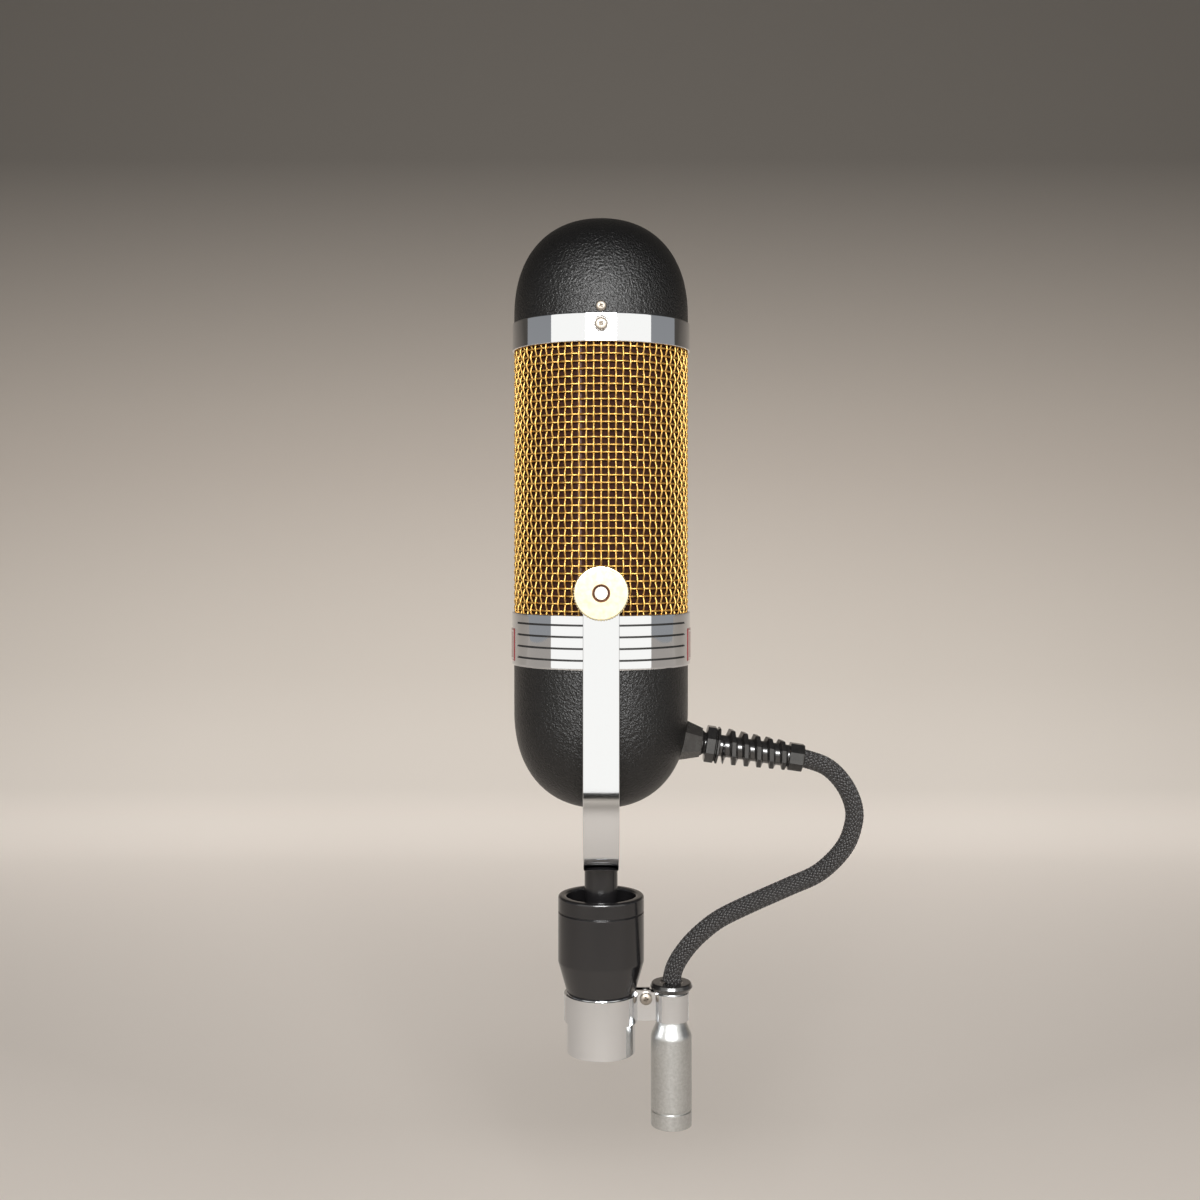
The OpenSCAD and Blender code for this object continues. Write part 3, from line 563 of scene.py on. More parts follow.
# Red enamel: glassy and deep, with faint swirls of the fired colour.
badge_enamel, tree, surface = finish_of("dark red enamel", "#6e141b", 0.12)
swirl = noise(tree, 260, 3, Distortion=1.2)
two_tones(tree, surface, swirl, (0, "#5c0f16"), (1, "#8a2029"))
surface.inputs["Coat Weight"].default_value = 0.6
surface.inputs["Coat Roughness"].default_value = 0.04


def curved_plate(name, facing):
    """A plate bent round the band, thinner at its edges, with a raised line round it."""
    half_w, half_h = badge_reach * badge_out, (badge_high.z - badge_low.z) / 2
    middle = (badge_high.z + badge_low.z) / 2
    across, up = 60, 48
    mesh = bmesh.new()
    fronts, backs = [], []
    for j in range(up + 1):
        for i in range(across + 1):
            u, v = (2 * i / across - 1) * half_w, (2 * j / up - 1) * half_h
            edge = min(half_w - abs(u), half_h - abs(v))
            lift = 0.3 * MM * ease(0.2 + edge / (0.8 * MM))
            lift += 0.06 * MM * ease(1.8 - 3.6 * abs(edge - rim_w) / MM)
            a = facing + u / badge_out
            for verts, r in ((fronts, low_band_r + lift), (backs, low_band_r + 0.02 * MM)):
                verts.append(mesh.verts.new((r * cos(a), r * sin(a), middle + v)))
    row = across + 1
    for j in range(up):
        for i in range(across):
            k = j * row + i
            edge = min(half_w - abs((2 * (i + 0.5) / across - 1) * half_w),
                       half_h - abs((2 * (j + 0.5) / up - 1) * half_h))
            field = mesh.faces.new([fronts[k], fronts[k + 1], fronts[k + row + 1], fronts[k + row]])
            field.material_index = 1 if abs(edge - rim_w) < 0.28 * MM else 0
            mesh.faces.new([backs[k + row], backs[k + row + 1], backs[k + 1], backs[k]])
    border = list(range(across)) + [j * row + across for j in range(up)]
    border += [up * row + i for i in range(across, 0, -1)] + [j * row for j in range(up, 0, -1)]
    for k, n in zip(border, border[1:] + border[:1]):
        mesh.faces.new([fronts[n], fronts[k], backs[k], backs[n]])
    made = closed_piece(name, mesh)
    made.data.materials.append(badge_enamel)
    made.data.materials.append(polished_chrome)
    return made


for name, facing, cad_name in (("front_plate", pi, "front_badge"), ("rear_plate", 0, "rear_badge")):
    wear(curved_plate(name, facing), "head", "badge_enamel", cad_name)


# ---- Screws ----
# Pan-head machine screws with a cross recess, in nickel-plated steel: two small ones hold the top
# casing, two larger ones sit in the band's dimples, and one draws the clip together.

# Nickel plate: slightly warm and softer than the chrome, with fine turning marks.
nickel_plate, tree, surface = finish_of("nickel-plated steel", "#978f85", 0.4, 1.0)
marks = noise(tree, 1800, 3, Roughness=0.7)
mottled(tree, surface, marks, 0.36, 0.5)
raised(tree, surface, marks, 0.2, 0.00002)

# Copies of a part round the upright axis, each in the same finish.
copies = bpy.data.node_groups.new("copies round the axis", "GeometryNodeTree")
given = input_sockets(copies, {"Count": "Int", "Finish": "Material"})
single = add(copies, "GeometryNodeGeometryToInstance")
copies.links.new(given["Geometry"], single.inputs[0])
many = add(copies, "GeometryNodeDuplicateElements", {
    "Geometry": single.outputs[0], "Amount": given["Count"]}, domain="INSTANCE")
share = maths(copies, "DIVIDE", many.outputs["Duplicate Index"], given["Count"])
turn = add(copies, "ShaderNodeCombineXYZ", {"Z": maths(copies, "MULTIPLY", share, 2 * pi)})
spread = add(copies, "GeometryNodeRotateInstances", {
    "Instances": many.outputs["Geometry"], "Rotation": turn.outputs[0], "Local Space": False})
plain = add(copies, "GeometryNodeRealizeInstances", {"Geometry": spread.outputs[0]})
plain = add(copies, "GeometryNodeSetMaterial", {
    "Geometry": plain.outputs[0], "Material": given["Finish"]})
add(copies, "NodeGroupOutput", {"Geometry": plain.outputs[0]})


def cut_with(made, bit):
    """Cuts a closed shape out of a piece for good."""
    cutter = linked("bit", mesh_data("bit", bit))
    made.modifiers.remove(made.modifiers["flats"])
    saw = made.modifiers.new("cut", "BOOLEAN")
    saw.operation = "DIFFERENCE"
    saw.solver = "EXACT"
    saw.object = cutter
    bpy.context.view_layer.update()
    seen = made.evaluated_get(bpy.context.evaluated_depsgraph_get())
    cut = bpy.data.meshes.new_from_object(seen)
    name = made.name
    for old in (made, cutter):
        bpy.data.objects.remove(old)
    cut.name = name
    return smoothed(linked(name, cut))


def pan_screw(name, head_r, head_h, shank_r, shank_l, seat, turn):
    """One screw: its head's underside is at height 0, its shank goes down, and it points along -Y."""
    outline = [(0, -shank_l), (shank_r - 0.3 * MM, -shank_l), (shank_r, 0.3 * MM - shank_l), (shank_r, 0)]
    outline += [(head_r, 0), (head_r, head_h * 0.42)]
    for k in range(1, 13):
        a = pi / 2 * k / 12
        outline.append((head_r * cos(a) ** 0.8, head_h * (0.42 + 0.58 * sin(a))))
    outline[-1] = (0, head_h)
    screw = spin(name, outline, 64)
    for quarter in (0, 1):
        bit = bmesh.new()
        slot_shape = Matrix.Diagonal((1, 0.32, 1, 1)) @ Matrix.Rotation(radians(45), 4, "Z")
        place = Matrix.Translation((0, 0, head_h * 0.85)) @ Matrix.Rotation(quarter * pi / 2, 4, "Z")
        bmesh.ops.create_cone(bit, cap_ends=True, segments=4, radius1=0.12 * head_r,
                              radius2=0.95 * head_r, depth=head_h, matrix=place @ slot_shape)
        screw = cut_with(screw, bit)
    aim = Matrix.Translation(seat) @ Matrix.Rotation(pi / 2, 4, "X") @ Matrix.Rotation(turn, 4, "Z")
    screw.data.transform(aim)
    return screw


cap_screw_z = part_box("top_band")[1].z + 2.9 * MM
for name, r, h, at, turn, cad_name in (
        ("cap_screws", 2.45, 1.8, (0, -casing_r, cap_screw_z), 0.5, "casing_screws"),
        ("seat_screws", 2.85, 1.4, (0, -top_band_r + 0.4 * MM, dimple_z), 0.85, "band_screws")):
    screw = pan_screw(name, r * MM, h * MM, 1.3 * MM, 5 * MM, at, turn)
    pair = grow(name, copies, {"Count": 2, "Finish": nickel_plate}, screw)
    wear(smoothed(pair), "head", "screw_steel", cad_name)


# ---- Grille ----
# A square mesh of round bronze wire, woven over and under, rolled into a tube and lacquered gold.
# Its ends are soldered to plain hems, and a fine dark lining is wrapped inside it.

grille_low, grille_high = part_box("grille_uprights")
pivot_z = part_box("left_nut")[0].z + (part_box("left_nut")[1].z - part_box("left_nut")[0].z) / 2
wire_d = 0.9 * MM
mesh_r = casing_r - 0.75 * MM
upright_count = 76
row_count = 36
eyelet_r = 6.5 * MM

# Gold lacquer on bronze wire: bright and warm, with small dull patches along each wire.
gold_wire, tree, surface = finish_of("gold-lacquered bronze wire", "#e8bd68", 0.4, 1.0)
patch = noise(tree, 700, 3)
two_tones(tree, surface, patch, (0.3, "#b48b45"), (0.7, "#d4ae69"))
mottled(tree, surface, patch, 0.42, 0.56)
raised(tree, surface, patch, 0.15, 0.00003)


def wire_tree(name, upright):
    """Woven wires round a tube: the uprights or the rows, which bend the opposite way to pass."""
    woven = bpy.data.node_groups.new(name, "GeometryNodeTree")
    given = input_sockets(woven, {
        "Wires": "Int", "Crossings": "Int", "Samples": "Int", "Low": "Float", "Height": "Float",
        "Radius": "Float", "Wire": "Float", "Eyelet": "Float", "Eyelet Height": "Float",
        "Finish": "Material"})
    if upright:
        line = add(woven, "GeometryNodeCurvePrimitiveLine", {"End": (0, 0, 1)})
        line = add(woven, "GeometryNodeResampleCurve", {
            "Curve": line.outputs[0], "Count": given["Samples"]})
    else:
        line = add(woven, "GeometryNodeCurvePrimitiveCircle", {"Resolution": given["Samples"]})
    along = add(woven, "GeometryNodeSplineParameter").outputs["Factor"]
    wires = add(woven, "GeometryNodeDuplicateElements", {
        "Geometry": line.outputs[0], "Amount": given["Wires"]}, domain="SPLINE")
    index = wires.outputs["Duplicate Index"]
    if not upright:
        index_step = add(woven, "GeometryNodeInputIndex").outputs[0]
        along = maths(woven, "DIVIDE", maths(woven, "MODULO", index_step, given["Samples"]),
                      given["Samples"])
    # the crossings count along the wire, and half a step puts a row in the middle of its pitch
    start = -0.5 if upright else 0.0
    phase = maths(woven, "MULTIPLY_ADD", along, given["Crossings"], start)
    phase = maths(woven, "ADD", phase, index)
    wave = maths(woven, "COSINE", maths(woven, "MULTIPLY", phase, pi))
    swing = maths(woven, "MULTIPLY", given["Wire"], 0.5 if upright else -0.5)
    reach = maths(woven, "MULTIPLY_ADD", wave, swing, given["Radius"])
    if upright:
        angle = maths(woven, "MULTIPLY", maths(woven, "DIVIDE", index, given["Wires"]), 2 * pi)
        level = maths(woven, "MULTIPLY_ADD", along, given["Height"], given["Low"])
    else:
        angle = maths(woven, "MULTIPLY", along, 2 * pi)
        step = maths(woven, "DIVIDE", maths(woven, "ADD", index, 0.5), given["Wires"])
        level = maths(woven, "MULTIPLY_ADD", step, given["Height"], given["Low"])
    place = add(woven, "ShaderNodeCombineXYZ", {
        "X": maths(woven, "MULTIPLY", reach, maths(woven, "COSINE", angle)),
        "Y": maths(woven, "MULTIPLY", reach, maths(woven, "SINE", angle)), "Z": level})
    bent = add(woven, "GeometryNodeSetPosition", {
        "Geometry": wires.outputs["Geometry"], "Position": place.outputs[0]})
    section = add(woven, "GeometryNodeCurvePrimitiveCircle", {
        "Resolution": 6, "Radius": maths(woven, "MULTIPLY", given["Wire"], 0.5)})
    drawn_wire = add(woven, "GeometryNodeCurveToMesh", {
        "Curve": bent.outputs[0], "Profile Curve": section.outputs[0], "Fill Caps": True})
    # a round hole for each tilt pivot
    at = add(woven, "GeometryNodeInputPosition")
    split = add(woven, "ShaderNodeSeparateXYZ", {0: at.outputs[0]})
    rise = maths(woven, "SUBTRACT", split.outputs["Z"], given["Eyelet Height"])
    off = maths(woven, "SQRT", maths(woven, "ADD", maths(woven, "MULTIPLY", rise, rise), maths(
        woven, "MULTIPLY", split.outputs["X"], split.outputs["X"])))
    inside = add(woven, "FunctionNodeCompare", {0: off, 1: given["Eyelet"]}, operation="LESS_THAN")
    holed = add(woven, "GeometryNodeDeleteGeometry", {
        "Geometry": drawn_wire.outputs[0], "Selection": inside.outputs[0]})
    smooth = add(woven, "GeometryNodeSetShadeSmooth", {"Geometry": holed.outputs[0]})
    whole = add(woven, "GeometryNodeRealizeInstances", {"Geometry": smooth.outputs[0]})
    whole = add(woven, "GeometryNodeSetMaterial", {
        "Geometry": whole.outputs[0], "Material": given["Finish"]})
    add(woven, "NodeGroupOutput", {"Geometry": whole.outputs[0]})
    return woven


for name, upright, wires, crossings, samples, cad_name in (
        ("upright_wires", True, upright_count, row_count, 145, "grille_uprights"),
        ("row_wires", False, row_count, upright_count, 456, "grille_rows")):
    seed = linked(name, bpy.data.meshes.new(name))
    made = grow(name, wire_tree(name, upright), {
        "Wires": wires, "Crossings": crossings, "Samples": samples,
        "Low": grille_low.z, "Height": grille_high.z - grille_low.z, "Radius": mesh_r,
        "Wire": wire_d, "Eyelet": eyelet_r, "Eyelet Height": pivot_z, "Finish": gold_wire}, seed)
    wear(made, "head", "brass_wire", cad_name)


def dress(made, *names):
    """Gives CAD nodes that are shown as they are their finish."""
    for name in names:
        node[name].data.materials.clear()
        node[name].data.materials.append(made)


def ease_edges(width, *names):
    """Breaks the sharp edges of CAD nodes by so many millimetres."""
    for name in names:
        broken = node[name].modifiers.new("broken edges", "BEVEL")
        broken.width = width * MM
        broken.segments = 2
        broken.limit_method = "ANGLE"
        broken.angle_limit = radians(40)
        broken.harden_normals = True


dress(gold_wire, "grille_hems")

# Lining: dark brown silk, woven so finely that it reads as cloth only from close by.
lining_silk, tree, surface = finish_of("dark brown lining silk", "#2e1a15", 0.9)
surface.inputs["Specular IOR Level"].default_value = 0.08
where = add(tree, "ShaderNodeTexCoord")
threads = add(tree, "ShaderNodeTexVoronoi", {
    "Vector": where.outputs["Object"], "Scale": 2600}, distance="CHEBYCHEV")
mixed = maths(tree, "MULTIPLY", threads.outputs["Distance"], noise(tree, 90, 3))
silk = two_tones(tree, surface, mixed, (0, "#1d0f0b"), (0.5, "#321c15"))
split = add(tree, "ShaderNodeSeparateXYZ", {0: where.outputs["Object"]})
round_at = maths(tree, "ARCTAN2", split.outputs["X"], maths(tree, "MULTIPLY", split.outputs["Y"], -1))
off_seam = maths(tree, "ABSOLUTE", maths(tree, "ADD", round_at, radians(14.3)))
on_seam = maths(tree, "LESS_THAN", off_seam, 0.022)
lapped = add(tree, "ShaderNodeMix", {
    "Factor": on_seam, "A": silk, "B": linear("#5c4a44")}, data_type="RGBA")
tree.links.new(lapped.outputs["Result"], surface.inputs["Base Color"])
raised(tree, surface, threads.outputs["Distance"], 0.4, 0.0001)
dress(lining_silk, "grille_lining")


# ---- Inside the head ----
# The inner frame of zinc-plated steel plates and rods, the ribbon motor between its magnets, and
# the output transformer on its bracket. The casings and the lining hide all of it.


def worked(name, colour, shade, roughness, metallic, scale, depth):
    """A finish with a fine mottled grain: two tones, and a relief so many millimetres deep."""
    made, tree, surface = finish_of(name, colour, roughness, metallic)
    grain = noise(tree, scale, 3, Roughness=0.6)
    two_tones(tree, surface, grain, (0.3, shade), (0.7, colour))
    mottled(tree, surface, grain, roughness * 0.8, min(roughness * 1.25, 1))
    raised(tree, surface, grain, 0.5, depth * MM)
    return made


dress(worked("zinc-plated steel", "#a9aaa6", "#8d8e8a", 0.35, 1.0, 350, 0.02),
      "frame_roof", "frame_base", "frame_rods", "transformer_bracket")
dress(worked("cast magnet alloy", "#5c5955", "#45423f", 0.6, 1.0, 500, 0.15), "magnets")
dress(worked("bright soft iron", "#8c8985", "#6f6c68", 0.3, 1.0, 400, 0.02), "pole_pieces")
dress(worked("aluminium ribbon foil", "#e6e7e9", "#d2d3d5", 0.2, 1.0, 900, 0.01), "ribbon")
dress(worked("brass clamp bar", "#b9924c", "#9a7838", 0.3, 1.0, 600, 0.02),
      "ribbon_clamps", "ribbon_clamp_screws")
dress(worked("varnished laminations", "#57534d", "#3f3c38", 0.45, 1.0, 1200, 0.05), "transformer_core")
dress(worked("varnished coil tape", "#a8783a", "#875c26", 0.5, 0.0, 500, 0.1), "transformer_coil")


# ---- Tilt pivots ----
# A flanged collar on each side spaces the head from its arm, on a threaded steel stud. Outside the
# arm a brass washer and a knurled brass thumb nut set the head's angle.

nut_r = 12.0 * MM
nut_round = 0.9 * MM
knurl_depth = 0.38 * MM
stud_r = 3.175 * MM
low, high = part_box("left_nut")
nut_in, nut_out = -high.y, -low.y
dress(polished_chrome, "pivot_spacers")
dress(nickel_plate, "pivot_studs")
ease_edges(0.25, "pivot_spacers")

# Polished brass: pale and clean on the turned faces, with rings left by the tool.
turned_brass, tree, surface = finish_of("polished turned brass", "#f8edc6", 0.16, 1.0)
where = add(tree, "ShaderNodeTexCoord")
shift = add(tree, "ShaderNodeVectorMath", {0: where.outputs["Object"], 1: (0, 0, -pivot_z)})
flatten = add(tree, "ShaderNodeVectorMath", {0: shift.outputs[0], 1: (1, 0, 1)}, operation="MULTIPLY")
from_axis = add(tree, "ShaderNodeVectorMath", {0: flatten.outputs[0]}, operation="LENGTH")
rings = maths(tree, "SINE", maths(tree, "MULTIPLY", from_axis.outputs["Value"], 2 * pi / 0.00022))
two_tones(tree, surface, noise(tree, 300, 4), (0.3, "#f3e6b8"), (0.7, "#faf1d2"))
raised(tree, surface, rings, 0.12, 0.00001)
dress(turned_brass, "left_washer", "right_washer")
ease_edges(0.15, "left_washer", "right_washer")

# Painted shade: dark brown on the countersink round the stud, where shade falls in the nut's thread
# mouth.
thread_mouth_shade = worked("painted shade in thread mouth", "#96684c", "#6b4632", 0.5, 0.4, 900, 0.03)

teeth = 60
outline = [(stud_r + 0.05 * MM, nut_in), (nut_r - 1.0 * MM, nut_in)]
for k in range(5):
    a = pi / 2 * k / 4
    outline.append((nut_r - nut_round * (1 - sin(a)), nut_in + nut_round * (1 - cos(a))))
outline += [(nut_r, nut_in + (nut_out - nut_in) * t / 6) for t in range(2, 5)]
for k in range(7):
    a = pi / 2 * k / 6
    outline.append((nut_r - nut_round * (1 - cos(a)), nut_out - nut_round * (1 - sin(a))))
outline += [(stud_r + 0.75 * MM, nut_out), (stud_r + 0.68 * MM, nut_out - 0.06 * MM),
            (stud_r + 0.05 * MM, nut_out - 1.3 * MM)]


def knurled(i, angle, r):
    """Straight knurling: shallow V cuts across the nut's rim, fading out over its round edges."""
    if r < nut_r - 0.55 * MM:
        return r
    tooth = abs((angle * teeth / (2 * pi)) % 1 - 0.5) * 2
    return r - knurl_depth * (1 - ease(tooth * 1.6)) * ease((r - nut_r + 0.55 * MM) / (0.3 * MM))


for name, side, cad_name in (("left_thumb_nut", 1, "left_nut"), ("right_thumb_nut", -1, "right_nut")):
    nut = spin(name, outline, teeth * 8, knurled, ring=True)
    nut.data.transform(Matrix.Translation((0, 0, pivot_z)) @ Matrix.Rotation(side * pi / 2, 4, "X"))
    nut.data.materials.append(turned_brass)
    nut.data.materials.append(thread_mouth_shade)
    # the faces round the stud hole take the painted shade
    for face in nut.data.polygons:
        middle = face.center
        if hypot(middle.x, middle.z - pivot_z) < stud_r + 0.7 * MM:
            face.material_index = 1
    wear(nut, cad_name, "polished_brass", cad_name)


# ---- Yoke ----
# One flat steel strap, bent to a U and chromed, carries the head between its round eyes. A hex
# socket bolt through its middle holds it to the post.

strap_w = 15.9 * MM
strap_t = 3.2 * MM
arm_out = nut_in - 1.05 * MM
bend_r = 37.5 * MM
strap_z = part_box("yoke_strap")[0].z
bolt_hole_r = 3.25 * MM


def bent_strap(name):
    """The strap as one sweep from eye to eye, with eased long edges."""
    half = strap_w / 2
    stations = []
    for k in range(19):
        a = radians(88) * (1 - k / 18)
        stations.append((arm_out, pivot_z + half * sin(a), 1, 0, half * cos(a)))
    for k in range(1, 13):
        z = pivot_z + (strap_z + bend_r - pivot_z) * k / 13
        stations.append((arm_out, z, 1, 0, half))
    for k in range(41):
        a = pi / 2 * k / 40
        stations.append((arm_out - bend_r + bend_r * cos(a), strap_z + bend_r - bend_r * sin(a),
                         cos(a), -sin(a), half))
    stations.append(((arm_out - bend_r) * 0.5, strap_z, 0, -1, half))
    stations.append((0, strap_z, 0, -1, half))
    stations += [(-y, z, -ny, nz, w) for y, z, ny, nz, w in stations[-2::-1]]
    cut, mesh, rounds = 0.45 * MM, bmesh.new(), []
    for y, z, ny, nz, w in stations:
        ring = []
        edge = min(cut, w * 0.5)
        far = strap_t - cut
        for sx, depth_in, turn0 in ((1, cut, 0), (-1, cut, 1), (-1, far, 2), (1, far, 3)):
            for k in range(4):
                a = pi / 2 * (turn0 + k / 3)
                x = sx * (w - edge) + edge * cos(a)
                depth = depth_in - cut * sin(a)
                ring.append(mesh.verts.new((x, y - ny * depth, z - nz * depth)))
        rounds.append(ring)
    for one, two in zip(rounds, rounds[1:]):
        for k in range(len(one)):
            n = (k + 1) % len(one)
            mesh.faces.new([one[k], one[n], two[n], two[k]])
    mesh.faces.new(rounds[0][::-1])
    mesh.faces.new(rounds[-1])
    return closed_piece(name, mesh)


def drill(made, r, length, place):
    """Drills one hole, with the drill's axis put in place by a matrix."""
    bit = bmesh.new()
    bmesh.ops.create_cone(bit, cap_ends=True, segments=64, radius1=r, radius2=r,
                          depth=length, matrix=place)
    return cut_with(made, bit)


strap = bent_strap("bent_strap")
across = Matrix.Translation((0, 0, pivot_z)) @ Matrix.Rotation(pi / 2, 4, "X")
strap = drill(strap, stud_r + 0.05 * MM, 120 * MM, across)
strap = drill(strap, bolt_hole_r, 8 * MM, Matrix.Translation((0, 0, strap_z)))
wear(strap, "yoke", "chrome", "yoke_strap", polished_chrome)
dress(nickel_plate, "yoke_bolt")
ease_edges(0.3, "yoke_bolt")


# ---- Post and cushion cup ----
# The post stands in a turned aluminium cup, held by a rubber ring that takes up floor noise. Post
# and cup are anodised black, and the cup has one fine groove and tapers down to the hub.

# Anodised aluminium: deep black with a satin gloss, and turning marks round the part.
black_anodised, tree, surface = finish_of("satin black anodised aluminium", "#141314", 0.17)
where = add(tree, "ShaderNodeTexCoord")
stretched = add(tree, "ShaderNodeMapping", {"Vector": where.outputs["Object"], "Scale": (1, 1, 40)})
turned = add(tree, "ShaderNodeTexNoise", {
    "Vector": stretched.outputs[0], "Scale": 120, "Detail": 3})
mottled(tree, surface, turned.outputs["Fac"], 0.13, 0.21)
raised(tree, surface, turned.outputs["Fac"], 0.12, 0.00002)
surface.inputs["IOR"].default_value = 1.6

# Moulded rubber: black, nearly matt, with a little talc-like bloom.
black_rubber = worked("moulded black rubber", "#1d1c1b", "#121111", 0.5, 0.0, 500, 0.05)

post_r = 7.7
low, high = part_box("post")
post = spin("turned_post", [(0, low.z)] + soften([
    (11.0, low.z / MM, 0.4), (11.0, low.z / MM + 3, 0.4), (post_r, low.z / MM + 3, 0.3),
    (post_r, high.z / MM, 0.5), (3.25, high.z / MM, 0.3), (3.25, 69, 0)])[:-1] + [
        (3.25 * MM, 69 * MM), (0, 69 * MM)], 96)
wear(post, "yoke", "black_anodised", "post", black_anodised)

low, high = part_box("cup")
hub_top = low.z / MM
cup_top = high.z / MM
groove = cup_top - 7.4
cup = spin("cushion_cup", soften([
    (6.05, hub_top, 0.2), (15.9, hub_top, 0.5), (20, hub_top + 14.5, 0.4), (20, groove - 0.45, 0.1),
    (19.5, groove, 0.15), (20, groove + 0.45, 0.1), (20, cup_top, 1.3), (16, cup_top, 1.3),
    (16, hub_top + 8, 0.5), (6.05, hub_top + 8, 0.2)], 5), 128, ring=True)
wear(cup, "yoke", "black_anodised", "cup", black_anodised)

low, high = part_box("cushion")
cushion = spin("cushion_ring", soften([
    (7.75, low.z / MM, 0.4), (15.95, low.z / MM, 0.6), (15.95, high.z / MM, 1.6),
    (7.75, high.z / MM, 1.2)], 5), 96, ring=True)
wear(cushion, "yoke", "black_rubber", "cushion", black_rubber)


# ---- Hub ----
# A turned and chromed brass hub screws up into the cup. The bush pressed into it takes the stand.

hub_r = 15.9
hub = spin("chromed_hub", [(0, 20.05 * MM)] + soften([
    (10.99, 20.05, 0), (10.99, 0, 0.4), (hub_r, 0, 0.8), (hub_r, hub_top, 0.8),
    (6.0, hub_top, 0.1), (6.0, hub_top + 8, 0.4)], 5) + [(0, (hub_top + 8) * MM)], 128)
wear(hub, "yoke", "chrome", "hub", polished_chrome)

# Thread: a plain brass bush whose bore carries the stand's 27 turns to the inch, as fine relief.
thread_brass, tree, surface = finish_of("threaded brass", "#c3a562", 0.28, 1.0)
where = add(tree, "ShaderNodeTexCoord")
rise = add(tree, "ShaderNodeSeparateXYZ", {0: where.outputs["Object"]})
turns = maths(tree, "DIVIDE", rise.outputs["Z"], 0.0254 / 27)
lead = maths(tree, "ARCTAN2", rise.outputs["Y"], rise.outputs["X"])
crest = maths(tree, "PINGPONG", maths(tree, "SUBTRACT", turns, maths(tree, "DIVIDE", lead, 2 * pi)), 0.5)
raised(tree, surface, crest, 0.8, 0.0005)
mottled(tree, surface, noise(tree, 400, 3), 0.2, 0.38)
dress(thread_brass, "stand_bush")
ease_edges(0.3, "stand_bush")


# ---- Strain relief ----
# A faceted plastic gland clamps the cable at the lower casing. The black rubber boot over it has a
# collar, a tapering coil of ribs and a plain end where the cable comes out.

boot_place = Matrix.Translation(boot_foot) @ Matrix.Rotation(pi / 2 + dip, 4, "Y")
boot_root_r = 5.0 * MM
collar_r = 8.6 * MM
coil_low, coil_high = 17.4 * MM, 48.6 * MM
coil_pitch = 5.88 * MM
coil_start = 21.1 * MM
gland_plastic = worked("black moulded nylon", "#2b2a28", "#211f1e", 0.26, 0.0, 300, 0.03)
dress(gland_plastic, "gland_nut")
ease_edges(0.4, "gland_nut")

# Glossy rubber: the boot and the grommet are moulded smooth, and their flats catch the light.
glossy_rubber = worked("glossy moulded rubber", "#1b1a19", "#131212", 0.2, 0.0, 400, 0.02)
gloss = glossy_rubber.node_tree.nodes["Principled BSDF"].inputs
for socket, value in (("Specular IOR Level", 0.9), ("Coat Weight", 0.35), ("Coat Roughness", 0.25)):
    gloss[socket].default_value = value


def flat_sided(r, angle):
    """Gives the thicker parts of the boot eight flats, one of them facing each side."""
    off = (angle + pi / 8) % (pi / 4) - pi / 8
    return r + (r * 0.95 / cos(off) - r) * ease((r - 5.6 * MM) / (0.5 * MM))


def boot_radius(s):
    """The boot's plain outline: the root, the collar and the end, with rounded steps."""
    r = boot_root_r + 1.0 * MM * ease((9.2 * MM - s) / (1.6 * MM))
    collar = ease((s - 8.9 * MM) / (1.3 * MM) + 0.25) * ease((16.9 * MM - s) / (1.5 * MM) + 0.2)
    r = max(r, collar_r * collar)
    groove_at = abs(s - 14.3 * MM)
    if groove_at < 0.7 * MM:
        r -= 1.1 * MM * (1 - ease(groove_at / (0.7 * MM)))
    return max(r, 6.5 * MM * ease((s - 48.2 * MM) / (0.7 * MM)))


def coiled(i, angle, r):
    """Adds the coil of ribs, which climbs one pitch for each turn round the boot."""
    s = boot_rows[i][1]
    if r < cable_d / 2 + 0.1 * MM:
        return r
    if not coil_low < s < coil_high:
        return flat_sided(r, angle)
    tip = 8.4 * MM - 1.5 * (s - 20 * MM) / 26
    turns = (s - coil_start) / coil_pitch - (angle / (2 * pi) - 0.5)
    away = abs((turns + 0.5) % 1 - 0.5) * coil_pitch
    rib = ease((2.0 * MM - away) / (1.15 * MM))
    ends = ease((s - coil_low) / (1.2 * MM)) * ease((coil_high - s) / (1.2 * MM))
    return flat_sided(r + max(tip - r, 0) * rib * ends, angle)


boot_rows = [(cable_d / 2, 7.65 * MM)]
boot_rows += [(boot_radius(s), s) for s in level_rows(7.65 * MM, boot_length - 0.5 * MM, 260)]
boot_rows += [(6.35 * MM, boot_length - 0.2 * MM), (6.0 * MM, boot_length), (cable_d / 2, boot_length)]
boot = spin("ribbed_boot", boot_rows, 96, coiled, ring=True)
boot.data.transform(boot_place)
wear(boot, "head", "black_rubber", "strain_boot", glossy_rubber)


# ---- Connector and clip ----
# The cable ends in a three-pin connector with a satin nickel shell. A rubber grommet caps it, and a
# chromed two-loop clip, drawn together by one screw, parks it beside the hub.

plug_axis = Matrix.Translation((cable_end.x, 0, 0))
low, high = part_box("plug_shell")
plug_top = high.z / MM
satin_nickel = worked("satin nickel plate", "#c4c5c4", "#b2b3b2", 0.32, 1.0, 900, 0.02)

